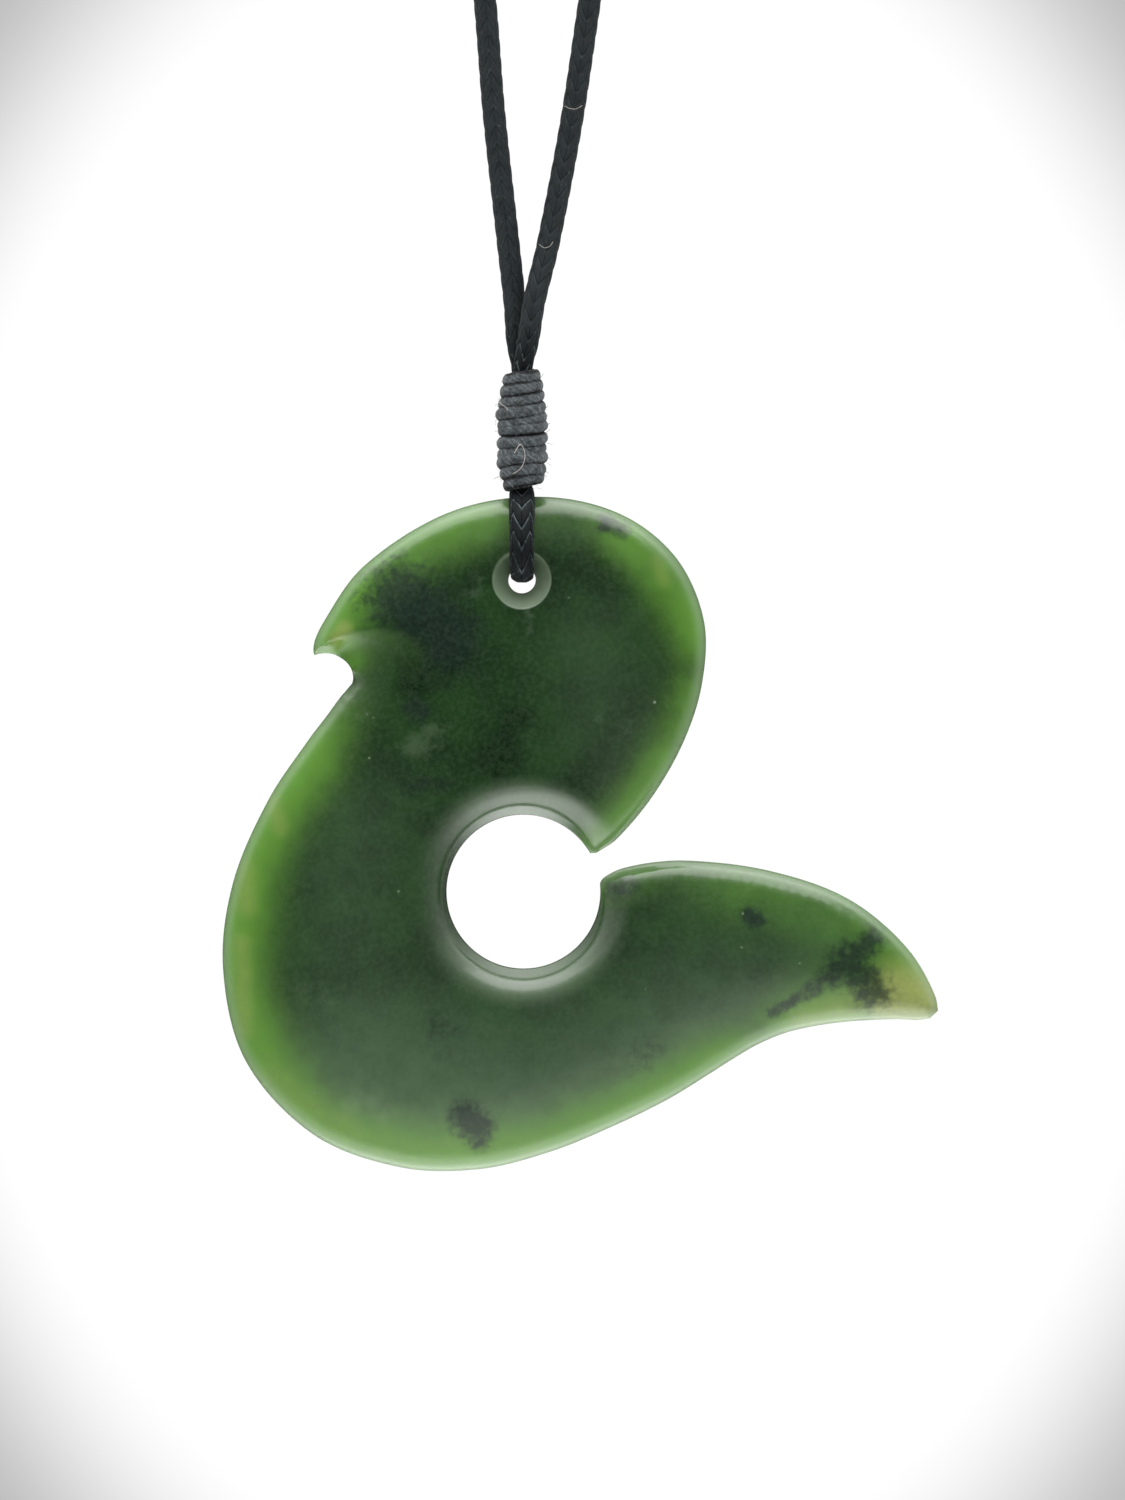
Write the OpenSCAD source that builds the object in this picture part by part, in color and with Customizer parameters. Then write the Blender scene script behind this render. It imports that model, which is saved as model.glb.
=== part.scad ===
/* [Stone] */
// Width of the stone, from the bend's outer edge to the tip of the tail
stone_w = 57; // [46:0.5:70]
// Height of the stone, from the top of the head to the bottom of the bend
stone_h = 53.8; // [44:0.2:66]
// Thickness of the stone at its middle
stone_t = 6; // [4.6:0.2:7]
// Radius of the polished round along the outer edge
edge_r = 1; // [0.6:0.1:1.4]
// Distance from the outer edge over which each face rises to its full height
pillow_w = 8; // [6:0.5:11]
// Width of the narrow flat left along the outer edge
edge_land = 0.3; // [0.2:0.05:0.6]

/* [Eye] */
// Diameter of the round eye that the hook curls around
eye_d = 12.4; // [10:0.2:14]
// Width of the rounded rim around the eye
eye_rim = 2.8; // [1.8:0.1:4]
// Thickness of the stone at the wall of the eye
eye_wall = 1.8; // [1:0.1:3]

/* [Notch] */
// Depth of the notch's apex behind the middle of the stone
notch_apex = 2.3; // [2:0.1:2.6]
// Half angle of the scoop that makes the notch, in degrees
notch_angle = 32; // [28:1:36]
// Lean of the scoop towards the middle of the stone, in degrees
notch_lean = 28; // [24:1:32]

/* [Cord hole] */
// Diameter of the drilled hole for the cord
hole_d = 2.2; // [2:0.1:2.6]
// Distance from the hole's centre up to the top edge of the stone
hole_drop = 6.6; // [6:0.1:7.4]
// Diameter of the countersink at the face of the stone
sink_d = 4.8; // [3.6:0.1:5.6]
// Depth of the countersink
sink_depth = 1.3; // [0.8:0.1:1.6]

/* [Cord] */
// Diameter of the braided cord
cord_d = 2; // [1.6:0.1:2.2]

/* [Whipping] */
// Length of the twine binding
whip_l = 9.8; // [7:0.1:13]
// Diameter of the twine
twine_d = 1; // [0.7:0.1:1.2]
// Number of turns of twine
whip_turns = 11; // [8:1:14]
// Gap between the binding and the top edge of the stone
whip_gap = 0.5; // [0.4:0.1:1]

/* [Neck loop] */
// Width of the loop of cord across the neck
loop_w = 124; // [112:2:140]
// Distance from the nape out to the middle of the stone
loop_out = 134; // [122:2:150]
// Distance from the nape down to the hole in the stone
loop_drop = 250; // [220:5:290]

/* [Neck join] */
// Length of the sleeve that joins the cord's ends at the nape
join_l = 14; // [10:1:20]
// Wall of the sleeve
join_wall = 1; // [0.6:0.1:1.5]

/* [Fit] */
// Clearance between the cord and each piece that it passes through
cord_clear = 0.1; // [0.05:0.05:0.2]

/* [Hidden] */

// The origin is at the nape, where the sleeve touches the neck. The wearer faces -Y.
// Place of the cord hole's centre
hole_at = [0, -loop_out, -loop_drop];

// Places on the stone are shares of its width to the right of the hole and
// shares of its height down from the top of the head.
eye_share = [0.002, 0.586];
notch_share = [-0.307, 0.257];
// Direction in which the notch's scoop leans, in degrees below the horizontal
notch_turn = 12;
// How far a cutter passes through what it cuts
over = 1;

// Columns: turn of the inner point around the eye, its reach beyond the eye's edge as a
// share of the width, the outer point to the right and down, and the share of the full thickness.
section_table = [
    [30, 0, 0.104, 0.528, 0.90],
    [38, 0, 0.133, 0.507, 0.96],
    [50, 0, 0.184, 0.442, 1],
    [62, 0, 0.227, 0.361, 1],
    [73, 0, 0.252, 0.277, 1],
    [83, 0, 0.255, 0.185, 1],
    [92, 0, 0.220, 0.096, 1],
    [101, 0, 0.154, 0.034, 1],
    [110, 0, 0.066, 0.003, 1],
    [119, 0, -0.036, 0.004, 1],
    [127, 0, -0.126, 0.034, 1],
    [134, 0, -0.221, 0.102, 1],
    [139, 0, -0.268, 0.168, 1],
    [144, 0, -0.292, 0.230, 1],
    [148, 0, -0.254, 0.291, 1],
    [153, 0, -0.266, 0.314, 1],
    [160, 0, -0.300, 0.362, 1],
    [171, 0, -0.356, 0.451, 1],
    [185, 0, -0.405, 0.573, 1],
    [199, 0, -0.419, 0.700, 1],
    [215, 0, -0.387, 0.838, 1],
    [230, 0, -0.292, 0.947, 1],
    [247, 0, -0.172, 0.995, 1],
    [266, 0, -0.060, 0.998, 1],
    [287, 0, 0.040, 0.972, 1],
    [310, 0, 0.130, 0.933, 1],
    [336, 0, 0.205, 0.894, 1],
    [366, 0, 0.268, 0.853, 1],
    [372, 0.020, 0.296, 0.834, 1],
    [373, 0.054, 0.330, 0.813, 1],
    [371.6, 0.104, 0.368, 0.796, 0.98],
    [369, 0.154, 0.402, 0.787, 0.95],
    [364.5, 0.242, 0.444, 0.780, 0.90],
    [358.5, 0.349, 0.494, 0.776, 0.84],
    [351.5, 0.436, 0.528, 0.775, 0.78],
    [346, 0.485, 0.556, 0.776, 0.72],
    [344, 0.496, 0.572, 0.774, 0.70]
];
// Longest stretch between two sections, as a share, and steps across each section
section_step = 0.042;
across = 15;

// Each half of the cord, from the nape to the hole, has its middle in three tables. The
// left half goes down at the back of the stone and the right half at its front.
// Columns: to the side as a share of half the loop's width, out and down as shares of the loop.
neck_table = [
    [0.32, 0, 0.004],
    [0.65, 0.09, 0.02],
    [0.90, 0.25, 0.052],
    [1, 0.46, 0.104],
    [0.94, 0.66, 0.184],
    [0.77, 0.81, 0.288],
    [0.58, 0.90, 0.40],
    [0.40, 0.96, 0.52],
    [0.24, 0.99, 0.64]
];
// Columns: left half's and right half's place to the side, and height above the whipping, in
// cord diameters; distance to back or front as a share of that in the whipping; share of the
// cord's diameter that a squeeze leaves.
strand_table = [
    [3.25, 4.5, 24, 0, 1],
    [1.7, 3, 16.5, 0, 1],
    [1.1, 2, 10, 0, 1],
    [0.55, 1.05, 5, 0.22, 1],
    [0.3, 0.5, 2.7, 0.78, 0.98],
    [0.15, 0.2, 1.15, 1, 0.92],
    [0, 0, -0.05, 1, 0.8]
];
// Columns: distance to back or front as a share of the leg's, height as a share of the hole's
// drop, and the share of the cord's diameter that a squeeze leaves.
thread_table = [
    [0.29, 1.82, 0.8],
    [0.34, 1.15, 0.76],
    [0.39, 1.045, 0.7],
    [0.60, 0.91, 0.72],
    [0.82, 0.76, 0.88],
    [0.92, 0.56, 0.98],
    [1, 0.35, 1],
    [0.92, 0.18, 0.84],
    [0.68, 0.076, 0.64],
    [0.42, 0.053, 0.54]
];
// Distance from a face of the stone to the middle of the cord's leg, in cord diameters, and
// half the space between the cord's ends in the sleeve
leg_stand = 0.4;
end_space = 0.5;
// Longest stretch between two rings of the cord, and the sides of cord and binding
ring_step = 14;
cord_sides = 8;
whip_sides = 20;

// Share of the cord's diameter left inside the binding, and the distance of each strand's middle
// from the binding's axis at its top and at its bottom, where the strands part over the stone
whip_squeeze = 0.8;
strand_spread = 0.55;
strand_r = cord_d * whip_squeeze / 2;
strand_top = strand_r + cord_clear;
strand_bottom = strand_top + strand_spread;

// Smooth curve through the rows of a table: the lengths between rows are measured on the
// columns from first to last, and the slope at a row comes from its two neighbours.
function part_of(row, first, last) = [for (k = [first:last]) row[k]];
function chord(t, i, first, last) = norm(part_of(t[i + 1] - t[i], first, last));
function slope(t, i, first, last) =
    i == 0 ? (t[1] - t[0]) / chord(t, 0, first, last)
    : i == len(t) - 1 ? (t[i] - t[i - 1]) / chord(t, i - 1, first, last)
    : (t[i + 1] - t[i - 1]) / (chord(t, i, first, last) + chord(t, i - 1, first, last));
function blend(t, i, s, first, last) =
    let (c = chord(t, i, first, last))
    (1 - s) * (1 - s) * ((1 + 2 * s) * t[i] + s * c * slope(t, i, first, last))
    + s * s * ((3 - 2 * s) * t[i + 1] + (s - 1) * c * slope(t, i + 1, first, last));
function smooth(t, longest, first, last) = [
    for (i = [0:len(t) - 2])
        let (steps = ceil(chord(t, i, first, last) / longest))
        for (k = [0:steps - 1]) blend(t, i, k / steps, first, last),
    t[len(t) - 1]
];

// Points on the stone as [x, z] from the hole's centre
function place(right, down) = [right * stone_w, hole_drop - down * stone_h];
eye_mid = place(eye_share.x, eye_share.y);
function inner_point(row) =
    eye_mid + (eye_d / 2 + max(0, row[1]) * stone_w) * [cos(row[0]), sin(row[0])];
function outer_point(row) = place(row[2], row[3]);

sections = smooth(section_table, section_step, 2, 3);
outline = concat(
    [inner_point(sections[0])],
    [for (row = sections) outer_point(row)],
    [for (k = [len(sections) - 1:-1:0]) if (sections[k][1] > 0) inner_point(sections[k])]
);

// Distance from a point to the outline, by its nearest stretch
function to_stretch(p, a, b) =
    let (ab = b - a, s = max(0, min(1, (p - a) * ab / (ab * ab)))) norm(p - a - s * ab);
function to_edge(p) = min([for (i = [0:len(outline) - 2]) to_stretch(p, outline[i], outline[i + 1])]);

// Height of a face above the middle of the stone
function quarter(d, r) = sqrt(1 - pow(1 - min(d, r) / r, 2));
function rise_edge(d) =
    edge_r * quarter(d, edge_r) + (stone_t / 2 - edge_r) * (1 - pow(1 - min(d, pillow_w) / pillow_w, 2));
function rise_eye(d) = eye_wall / stone_t + (1 - eye_wall / stone_t) * quarter(max(0, d), eye_rim);
function face_height(p, crown) =
    max(edge_land / 2, crown * rise_edge(to_edge(p)) * rise_eye(norm(p - eye_mid) - eye_d / 2));

// Points from the inner to the outer edge, closer together near both edges
function cross_section(row) =
    let (a = inner_point(row), b = outer_point(row))
    [for (j = [0:across])
        let (p = a + (b - a) * (1 - cos(180 * j / across)) / 2)
        [p.x, face_height(p, row[4]), p.y]];

// One ring of points around each section: the front face outwards, then the back face inwards
function stone_ring(row) =
    let (half = cross_section(row))
    concat([for (q = half) [q.x, -q.y, q.z]], [for (j = [across:-1:0]) [half[j].x, half[j].y, half[j].z]]);

// Skin over rings of equal length, closed at both ends
module skin(rings) {
    n = len(rings[0]);
    sides = [
        for (i = [0:len(rings) - 2]) for (j = [0:n - 1])
            let (a = i * n + j, b = i * n + (j + 1) % n)
            each [[a, a + n, b], [b, a + n, b + n]]
    ];
    first_end = [for (j = [0:n - 1]) j];
    last_end = [for (j = [n - 1:-1:0]) (len(rings) - 1) * n + j];
    polyhedron([for (ring = rings) each ring], concat([first_end], sides, [last_end]));
}

module notch_scoop(side) {
    apex = place(notch_share.x, notch_share.y);
    reach = 2 * stone_t;
    translate([apex.x, notch_apex * side, apex.y])
        rotate([0, notch_turn, 0])
            rotate([0, 0, notch_lean * side])
                rotate([90 * side, 0, 0])
                    cylinder(h = reach, r1 = 0, r2 = reach * tan(notch_angle), $fn = 64);
}

module countersink(side) {
    slope = (sink_d - hole_d) / 2 / sink_depth;
    face = stone_t / 2;
    translate([0, -side * (face - sink_depth), 0])
        rotate([90 * side, 0, 0])
            cylinder(h = stone_t, r1 = hole_d / 2, r2 = hole_d / 2 + stone_t * slope, $fn = 64);
}

module hook_stone() color([0.14, 0.32, 0.13]) translate(hole_at) difference() {
    skin([for (row = sections) stone_ring(row)]);
    rotate([90, 0, 0]) cylinder(h = 2 * stone_t, d = hole_d, center = true, $fn = 64);
    for (side = [-1, 1]) {
        notch_scoop(side);
        countersink(side);
    }
}

// Cord: each half from the nape to the hole, with its place and its squeeze
sleeve_y = cord_d / 2 + cord_clear + join_wall;
function half_cord(side) = concat(
    [for (x = [end_space, join_l / 2]) [side * x, sleeve_y, 0, 1]],
    [for (row = neck_table) [side * row[0] * loop_w / 2, -row[1] * loop_out, -row[2] * loop_drop, 1]],
    [for (row = strand_table) concat(hole_at + [
        (side < 0 ? -row[0] : row[1]) * cord_d,
        -side * row[3] * strand_top,
        hole_drop + whip_gap + whip_l + row[2] * cord_d
    ], row[4])],
    [for (row = thread_table) concat(hole_at + [
        0,
        -side * row[0] * (stone_t / 2 + leg_stand * cord_d),
        row[1] * hole_drop
    ], row[2])]
);
left_half = half_cord(-1);
right_half = half_cord(1);
cord_rows = concat(left_half, [for (k = [len(right_half) - 1:-1:0]) right_half[k]]);

// Rings square to the route, each turned as little as possible from the last
cord_route = smooth(cord_rows, ring_step, 0, 2);
function mid(i) = part_of(cord_route[i], 0, 2);
function unit(v) = v / norm(v);
function heading(i) = unit(mid(min(i + 1, len(cord_route) - 1)) - mid(max(i - 1, 0)));
function square_to(v, along) = unit(v - (v * along) * along);
cord_ups = [for (i = 0, up = [0, 0, 1]; i < len(cord_route);
    up = square_to(up, heading(min(i + 1, len(cord_route) - 1))), i = i + 1) up];

module neck_cord() color([0.07, 0.07, 0.08])
    skin([
        for (i = [0:len(cord_route) - 1])
            let (up = cord_ups[i], side = cross(heading(i), up), r = cord_d / 2 * cord_route[i][3])
            [for (k = [0:cord_sides - 1])
                mid(i) + r * (cos(360 * k / cord_sides) * up + sin(360 * k / cord_sides) * side)]
    ]);

// Binding: an oval barrel over the two strands, with a round for each turn of twine
function strand_at(z) = strand_bottom + (strand_top - strand_bottom) * max(0, min(1, z / whip_l));
function oval(r, z) = [for (k = [0:whip_sides - 1])
    let (a = 360 * (k + 0.5) / whip_sides)
    [r * cos(a), r * sin(a) + (sin(a) > 0 ? strand_at(z) : -strand_at(z)), z]];

module whipping() color([0.25, 0.25, 0.27]) {
    bore_r = strand_r + cord_clear;
    pitch = whip_l / whip_turns;
    // Height of the twine above the bore through one turn, as shares of its diameter
    swell = [0.72, 0.97, 1, 0.97];
    end_pull = 0.4;
    wall = [
        for (k = [0:whip_turns - 1]) for (s = [0:len(swell) - 1])
            let (pulled = k == 0 || k == whip_turns - 1 ? end_pull : 0)
            [bore_r + twine_d * (swell[s] - pulled), (k + s / len(swell)) * pitch],
        [bore_r + twine_d * (swell[0] - end_pull), whip_l]
    ];
    translate([hole_at.x, hole_at.y, hole_at.z + hole_drop + whip_gap]) difference() {
        skin([for (w = wall) oval(w[0], w[1])]);
        skin([for (z = [-over, 0, whip_l, whip_l + over]) oval(bore_r, z)]);
    }
}

module neck_join() color([0.10, 0.10, 0.11]) {
    bore_r = cord_d / 2 + cord_clear;
    translate([0, sleeve_y, 0]) rotate([0, 90, 0]) difference() {
        cylinder(h = join_l, r = bore_r + join_wall, center = true, $fn = 48);
        cylinder(h = join_l + 2 * over, r = bore_r, center = true, $fn = 48);
    }
}

hook_stone();
neck_cord();
whipping();
neck_join();
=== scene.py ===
"""Hook pendant of green stone on a whipped braided cord: pieces, finishes and a plain studio."""

import math
import random

import bpy
import numpy as np
from bpy.props import FloatProperty, FloatVectorProperty, IntProperty, PointerProperty
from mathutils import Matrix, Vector
from mathutils.geometry import delaunay_2d_cdt


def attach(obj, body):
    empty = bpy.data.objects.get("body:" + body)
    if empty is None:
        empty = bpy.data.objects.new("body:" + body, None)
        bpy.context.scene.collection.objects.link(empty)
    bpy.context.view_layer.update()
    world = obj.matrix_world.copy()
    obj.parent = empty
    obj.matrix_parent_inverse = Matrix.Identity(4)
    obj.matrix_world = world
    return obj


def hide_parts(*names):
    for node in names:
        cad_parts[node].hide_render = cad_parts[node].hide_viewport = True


bl_info = {
    "name": "Hook pendant",
    "version": (1, 0, 0),
    "blender": (4, 5, 0),
    "location": "3D View > Sidebar > Pendant",
    "description": "Builds a carved green stone hook on its braided neck cord",
    "category": "Object",
}

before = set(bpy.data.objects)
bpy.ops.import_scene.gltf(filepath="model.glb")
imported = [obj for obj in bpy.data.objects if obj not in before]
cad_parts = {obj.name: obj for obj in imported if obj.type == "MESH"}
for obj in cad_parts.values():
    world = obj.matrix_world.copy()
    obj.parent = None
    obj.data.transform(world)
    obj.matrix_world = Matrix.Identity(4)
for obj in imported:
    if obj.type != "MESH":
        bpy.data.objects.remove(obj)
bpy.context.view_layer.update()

# Lengths in the tables and the mesh code are in mm. Settings are in metres, as Blender's are.
MM = 0.001
# Middle of the cord hole, from the nape
HOLE_AT = np.array([0.0, -134.0, -250.0])
# How many points are set against a line at a time
CHUNK = 2000

# Places on the stone are shares of its width to the right of the cord hole and
# shares of its height down from the top of the head.
EYE_AT = (0.002, 0.586)
NOTCH_AT = (-0.307, 0.257)
NOTCH_END = (-0.254, 0.291)

# Columns: turn of the inner point around the eye in degrees, its reach beyond the eye's edge as a
# share of the width, the outer point to the right and down, and the share of the full thickness.
SECTION_TABLE = [
    (30, 0, 0.104, 0.528, 0.90),
    (38, 0, 0.133, 0.507, 0.96),
    (50, 0, 0.184, 0.442, 1),
    (62, 0, 0.227, 0.361, 1),
    (73, 0, 0.252, 0.277, 1),
    (83, 0, 0.255, 0.185, 1),
    (92, 0, 0.220, 0.096, 1),
    (101, 0, 0.154, 0.034, 1),
    (110, 0, 0.066, 0.003, 1),
    (119, 0, -0.036, 0.004, 1),
    (127, 0, -0.126, 0.034, 1),
    (134, 0, -0.221, 0.102, 1),
    (139, 0, -0.268, 0.168, 1),
    (144, 0, -0.292, 0.230, 1),
    (148, 0, -0.254, 0.291, 1),
    (153, 0, -0.266, 0.314, 1),
    (160, 0, -0.300, 0.362, 1),
    (171, 0, -0.356, 0.451, 1),
    (185, 0, -0.405, 0.573, 1),
    (199, 0, -0.419, 0.700, 1),
    (215, 0, -0.387, 0.838, 1),
    (230, 0, -0.292, 0.947, 1),
    (247, 0, -0.172, 0.995, 1),
    (266, 0, -0.060, 0.998, 1),
    (287, 0, 0.040, 0.972, 1),
    (310, 0, 0.130, 0.933, 1),
    (336, 0, 0.205, 0.894, 1),
    (366, 0, 0.268, 0.853, 1),
    (372, 0.020, 0.296, 0.834, 1),
    (373, 0.054, 0.330, 0.813, 1),
    (371.6, 0.104, 0.368, 0.796, 0.98),
    (369, 0.154, 0.402, 0.787, 0.95),
    (364.5, 0.242, 0.444, 0.780, 0.90),
    (358.5, 0.349, 0.494, 0.776, 0.84),
    (351.5, 0.436, 0.528, 0.775, 0.78),
    (346, 0.485, 0.556, 0.776, 0.72),
    (344, 0.496, 0.572, 0.774, 0.70),
]
# The table's first rows, which thin the beak, and its last rows, which thin the tail
BEAK_ROWS, TAIL_ROWS = 3, 8

# The stone's mesh: rows of points inside its edges, rings of points around the cord hole,
# the step of the grid along the notch's ridge, and the rows of the walls
EDGE_OFFSETS = (0.05, 0.12, 0.21, 0.32, 0.46, 0.62, 0.82, 1.04)
HOLE_SIDES, HOLE_STEP, HOLE_RINGS = 64, 0.12, 15
RIDGE_STEP, WALL_ROWS = 0.13, 4
# Roundness of the ridge, and the least height of a face in the notch and anywhere
RIDGE_ROUND, NOTCH_FLOOR, LEAST_HEIGHT = 0.10, 0.06, 0.05
# Two faces that meet at more than this show a crisp edge
SHARP_EDGE = math.radians(38)
# Rounds of evening out: of the faces, of the way in from the rim, and of the notch's lower corner
FACE_ROUNDS, RIM_ROUNDS, CORNER_ROUNDS = 90, 60, 30
# Reach of the countersink and of the notch's scoop, and of the rounding at that corner
HOLE_REACH, NOTCH_REACH, CORNER_REACH = 4, 14, 1.1

# The cord's loop: its width across the neck, and how far the pendant hangs out and down.
LOOP_W, LOOP_OUT, LOOP_DROP = 124.0, 134.0, 250.0

# Each half of the cord, from the nape to the hole, has its middle in three tables. The left
# half goes down at the back of the stone and the right half at its front.
# Columns: to the side as a share of half the loop's width, out and down as shares of the loop.
NECK_TABLE = [
    (0.32, 0, 0.004),
    (0.65, 0.09, 0.02),
    (0.90, 0.25, 0.052),
    (1, 0.46, 0.104),
    (0.94, 0.66, 0.184),
    (0.77, 0.81, 0.288),
    (0.58, 0.90, 0.40),
    (0.40, 0.96, 0.52),
    (0.24, 0.99, 0.64),
]
# Columns: left half's and right half's place to the side, and height above the whipping, in
# cord diameters; distance to back or front as a share of that in the whipping; squeeze.
STRAND_TABLE = [
    (3.25, 4.5, 24, 0, 1),
    (1.7, 3, 16.5, 0, 1),
    (1.1, 2, 10, 0, 1),
    (0.55, 1.05, 5, 0.22, 1),
    (0.3, 0.5, 2.7, 0.78, 0.98),
    (0.2, 0.26, 1.15, 1, 0.93),
    (0.03, 0.03, -0.05, 1, 0.8),
]
# Columns: distance to back or front as a share of the leg's, height as a share of the hole's
# drop, squeeze, and the same across the view.
THREAD_TABLE = [
    (0.29, 1.82, 0.8, 0.8),
    (0.34, 1.15, 0.72, 0.84),
    (0.40, 1.045, 0.64, 1.02),
    (0.60, 0.91, 0.70, 1.08),
    (0.82, 0.76, 0.88, 1.06),
    (0.92, 0.56, 0.98, 1.02),
    (1, 0.35, 1, 1.02),
    (0.92, 0.18, 0.84, 1),
    (0.68, 0.076, 0.64, 0.96),
    (0.42, 0.053, 0.54, 0.92),
]
# Below this height the picture shows the cord, and its mesh is finer
SHOWN_BELOW = -196
# How far the stitches of a column run on beside the next, as a share of their spacing
STITCH_LEAN = 0.9
# The strands turn plainer between these heights, and this much slimmer than the leg
PLAIN_FROM, PLAIN_TO, PLAIN_SLIMMER = -234, -228, 0.06
# Room between the cord and the binding at the nape
JOIN_ROOM = 0.1
# Sides of the swept tubes and of the binding at the nape
CORD_SIDES, TWINE_SIDES, JOIN_SIDES, HAIR_SIDES = 32, 20, 40, 4

# Distance of each strand's middle from the whipping's axis at its top and at its foot
STRAND_TOP, STRAND_FOOT = 0.9, 1.45
# Inner radius of the whipping, its twine's first place above the foot, and one turn of its plies
STRAND_CORE, WHIPPING_END, PLY_TURN = 0.86, 0.4, 2.6
# Half the twine's width along the whipping, and how finely a turn of it is stepped
TWINE_HALF, TURN_STEPS = 0.56, 96
# Seeds of what is uneven
WHIPPING_SEED, LINT_SEED = 11, 5
# Columns: height above the whipping's foot, and half its width
WHIPPING_SHAPE = [
    (0.0, 1.35),
    (0.5, 1.58),
    (1.2, 1.90),
    (2.2, 2.04),
    (3.6, 2.05),
    (5.0, 2.08),
    (6.3, 2.10),
    (7.4, 1.98),
    (8.2, 1.80),
    (8.9, 1.64),
    (9.8, 1.36),
]
# Loose fibres as points right of and up from the cord hole. Then depth and radius, or the
# strand's middle and the fibre's lift off it.
LOOSE_IN_FRONT = [
    (
        [(-0.6, 10.0), (-0.1, 10.7), (0.25, 10.0), (0.1, 9.1), (-0.3, 8.6), (-0.75, 8.35)],
        -3.66,
        0.026,
    ),
    ([(-1.9, 14.2), (-1.6, 13.9), (-1.3, 13.7), (-1.1, 13.4)], -3.2, 0.028),
]
LOOSE_ON_STRANDS = [
    ([(1.35, 26.8), (1.75, 26.5), (2.2, 26.6), (2.5, 27.0)], 1.93, 0.25),
    ([(3.40, 37.85), (3.8, 37.65), (4.3, 37.6), (4.85, 37.9)], 4.2, 0.02),
]

# Height, middle and radius of the studio's floor
FLOOR_AT, FLOOR_MID, FLOOR_RADIUS = -400, (0, -130), 690
# What the camera looks at, and the light from above, all in metres
PICTURE_MID = (0.00324, -0.134, -0.2636)
SOFTBOX_AT, SOFTBOX_SIZE = (0.0, -0.34, 0.10), (0.5, 0.2)
# Height of the camera's sensor as Blender counts it, in mm
SENSOR = 36

# Patches on the stone. The backlight and olive patches are painted backlight, which makes thin
# edges bright and yellow green. The sheen patches are a painted reflection on the lower body.
# The dark and wisp patches are the stone's own colour. Columns: from and to, each right
# and down as shares, the patch's radius in mm and its strength.
PAINTED_BACKLIGHT_PATCHES = [
    (-0.20, 0.12, -0.05, 0.04, 3.2, 0.7),
    (-0.27, 0.21, -0.22, 0.14, 2.8, 1.0),
    (0.14, 0.07, 0.24, 0.20, 2.4, 0.8),
    (0.24, 0.30, 0.20, 0.40, 2.4, 0.5),
    (0.20, 0.40, 0.12, 0.52, 2.6, 0.8),
    (-0.30, 0.40, -0.42, 0.60, 4.4, 1.0),
    (-0.25, 0.215, -0.235, 0.235, 1.4, 1.0),
    (-0.40, 0.58, -0.42, 0.72, 5.5, 1.15),
    (-0.41, 0.75, -0.33, 0.90, 6.0, 1.2),
    (-0.30, 0.94, 0.00, 0.99, 5.5, 1.15),
    (0.00, 0.98, 0.27, 0.86, 4.5, 1.0),
    (0.30, 0.62, 0.46, 0.68, 3.0, 0.5),
    (0.42, 0.76, 0.57, 0.76, 5.0, 1.0),
]
OLIVE_PATCHES = [
    (0.53, 0.745, 0.575, 0.765, 3.2, 1.0),
    (0.40, 0.78, 0.48, 0.75, 2.4, 0.45),
    (-0.350, 0.45, -0.338, 0.49, 1.1, 0.40),
    (-0.388, 0.55, -0.385, 0.61, 1.3, 0.40),
    (0.188, 0.095, 0.200, 0.125, 1.0, 0.35),
    (-0.262, 0.215, -0.248, 0.195, 0.9, 0.60),
    (-0.392, 0.66, -0.388, 0.79, 1.2, 0.42),
    (-0.35, 0.86, -0.24, 0.945, 2.4, 0.30),
    (-0.20, 0.965, 0.02, 0.965, 2.2, 0.24),
]
DARK_PATCHES = [
    (-0.175, 0.145, -0.10, 0.21, 3.4, 1.0),
    (0.118, 0.040, 0.138, 0.048, 0.9, 1.0),
    (-0.078, 0.920, -0.062, 0.935, 1.5, 1.1),
    (-0.066, 0.935, -0.058, 0.955, 0.9, 1.0),
    (0.318, 0.622, 0.328, 0.626, 0.8, 1.2),
    (0.130, 0.582, 0.150, 0.575, 0.9, 0.9),
    (0.350, 0.765, 0.395, 0.738, 0.55, 0.9),
    (0.395, 0.738, 0.43, 0.712, 0.8, 0.8),
    (0.43, 0.712, 0.492, 0.655, 1.1, 1.0),
    (0.455, 0.69, 0.490, 0.735, 1.9, 0.95),
    (-0.152, 0.310, -0.143, 0.32, 1.1, 0.9),
    (-0.16, 0.43, -0.11, 0.425, 0.9, 0.6),
    (-0.05, 0.33, -0.03, 0.38, 2.6, 0.3),
    (0.16, 0.84, 0.18, 0.82, 2.0, 0.35),
    (-0.12, 0.79, -0.10, 0.80, 2.4, 0.35),
]
PAINTED_SHEEN_PATCHES = [
    (-0.22, 0.86, -0.02, 0.92, 8.0, 1.0),
    (0.00, 0.90, 0.25, 0.80, 7.0, 0.85),
    (0.28, 0.72, 0.42, 0.70, 4.5, 0.5),
    (0.00, 0.64, 0.10, 0.68, 3.0, 0.25),
    (-0.24, 0.50, -0.24, 0.76, 6.0, 0.35),
    (0.10, 0.22, 0.12, 0.34, 4.5, 0.3),
]
WISP_PATCHES = [
    (-0.15, 0.37, -0.125, 0.35, 1.6, 0.8),
    (0.008, 0.165, 0.012, 0.20, 0.6, 0.6),
    (0.115, 0.34, 0.14, 0.33, 1.8, 0.5),
    (-0.235, 0.90, -0.20, 0.91, 1.6, 0.8),
    (-0.07, 0.14, -0.02, 0.11, 1.6, 0.5),
    (-0.10, 0.27, -0.06, 0.24, 2.0, 0.35),
    (-0.30, 0.73, -0.26, 0.75, 1.8, 0.4),
]


def mm(length):
    """Millimetres of a length in metres."""
    return length / MM


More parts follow.
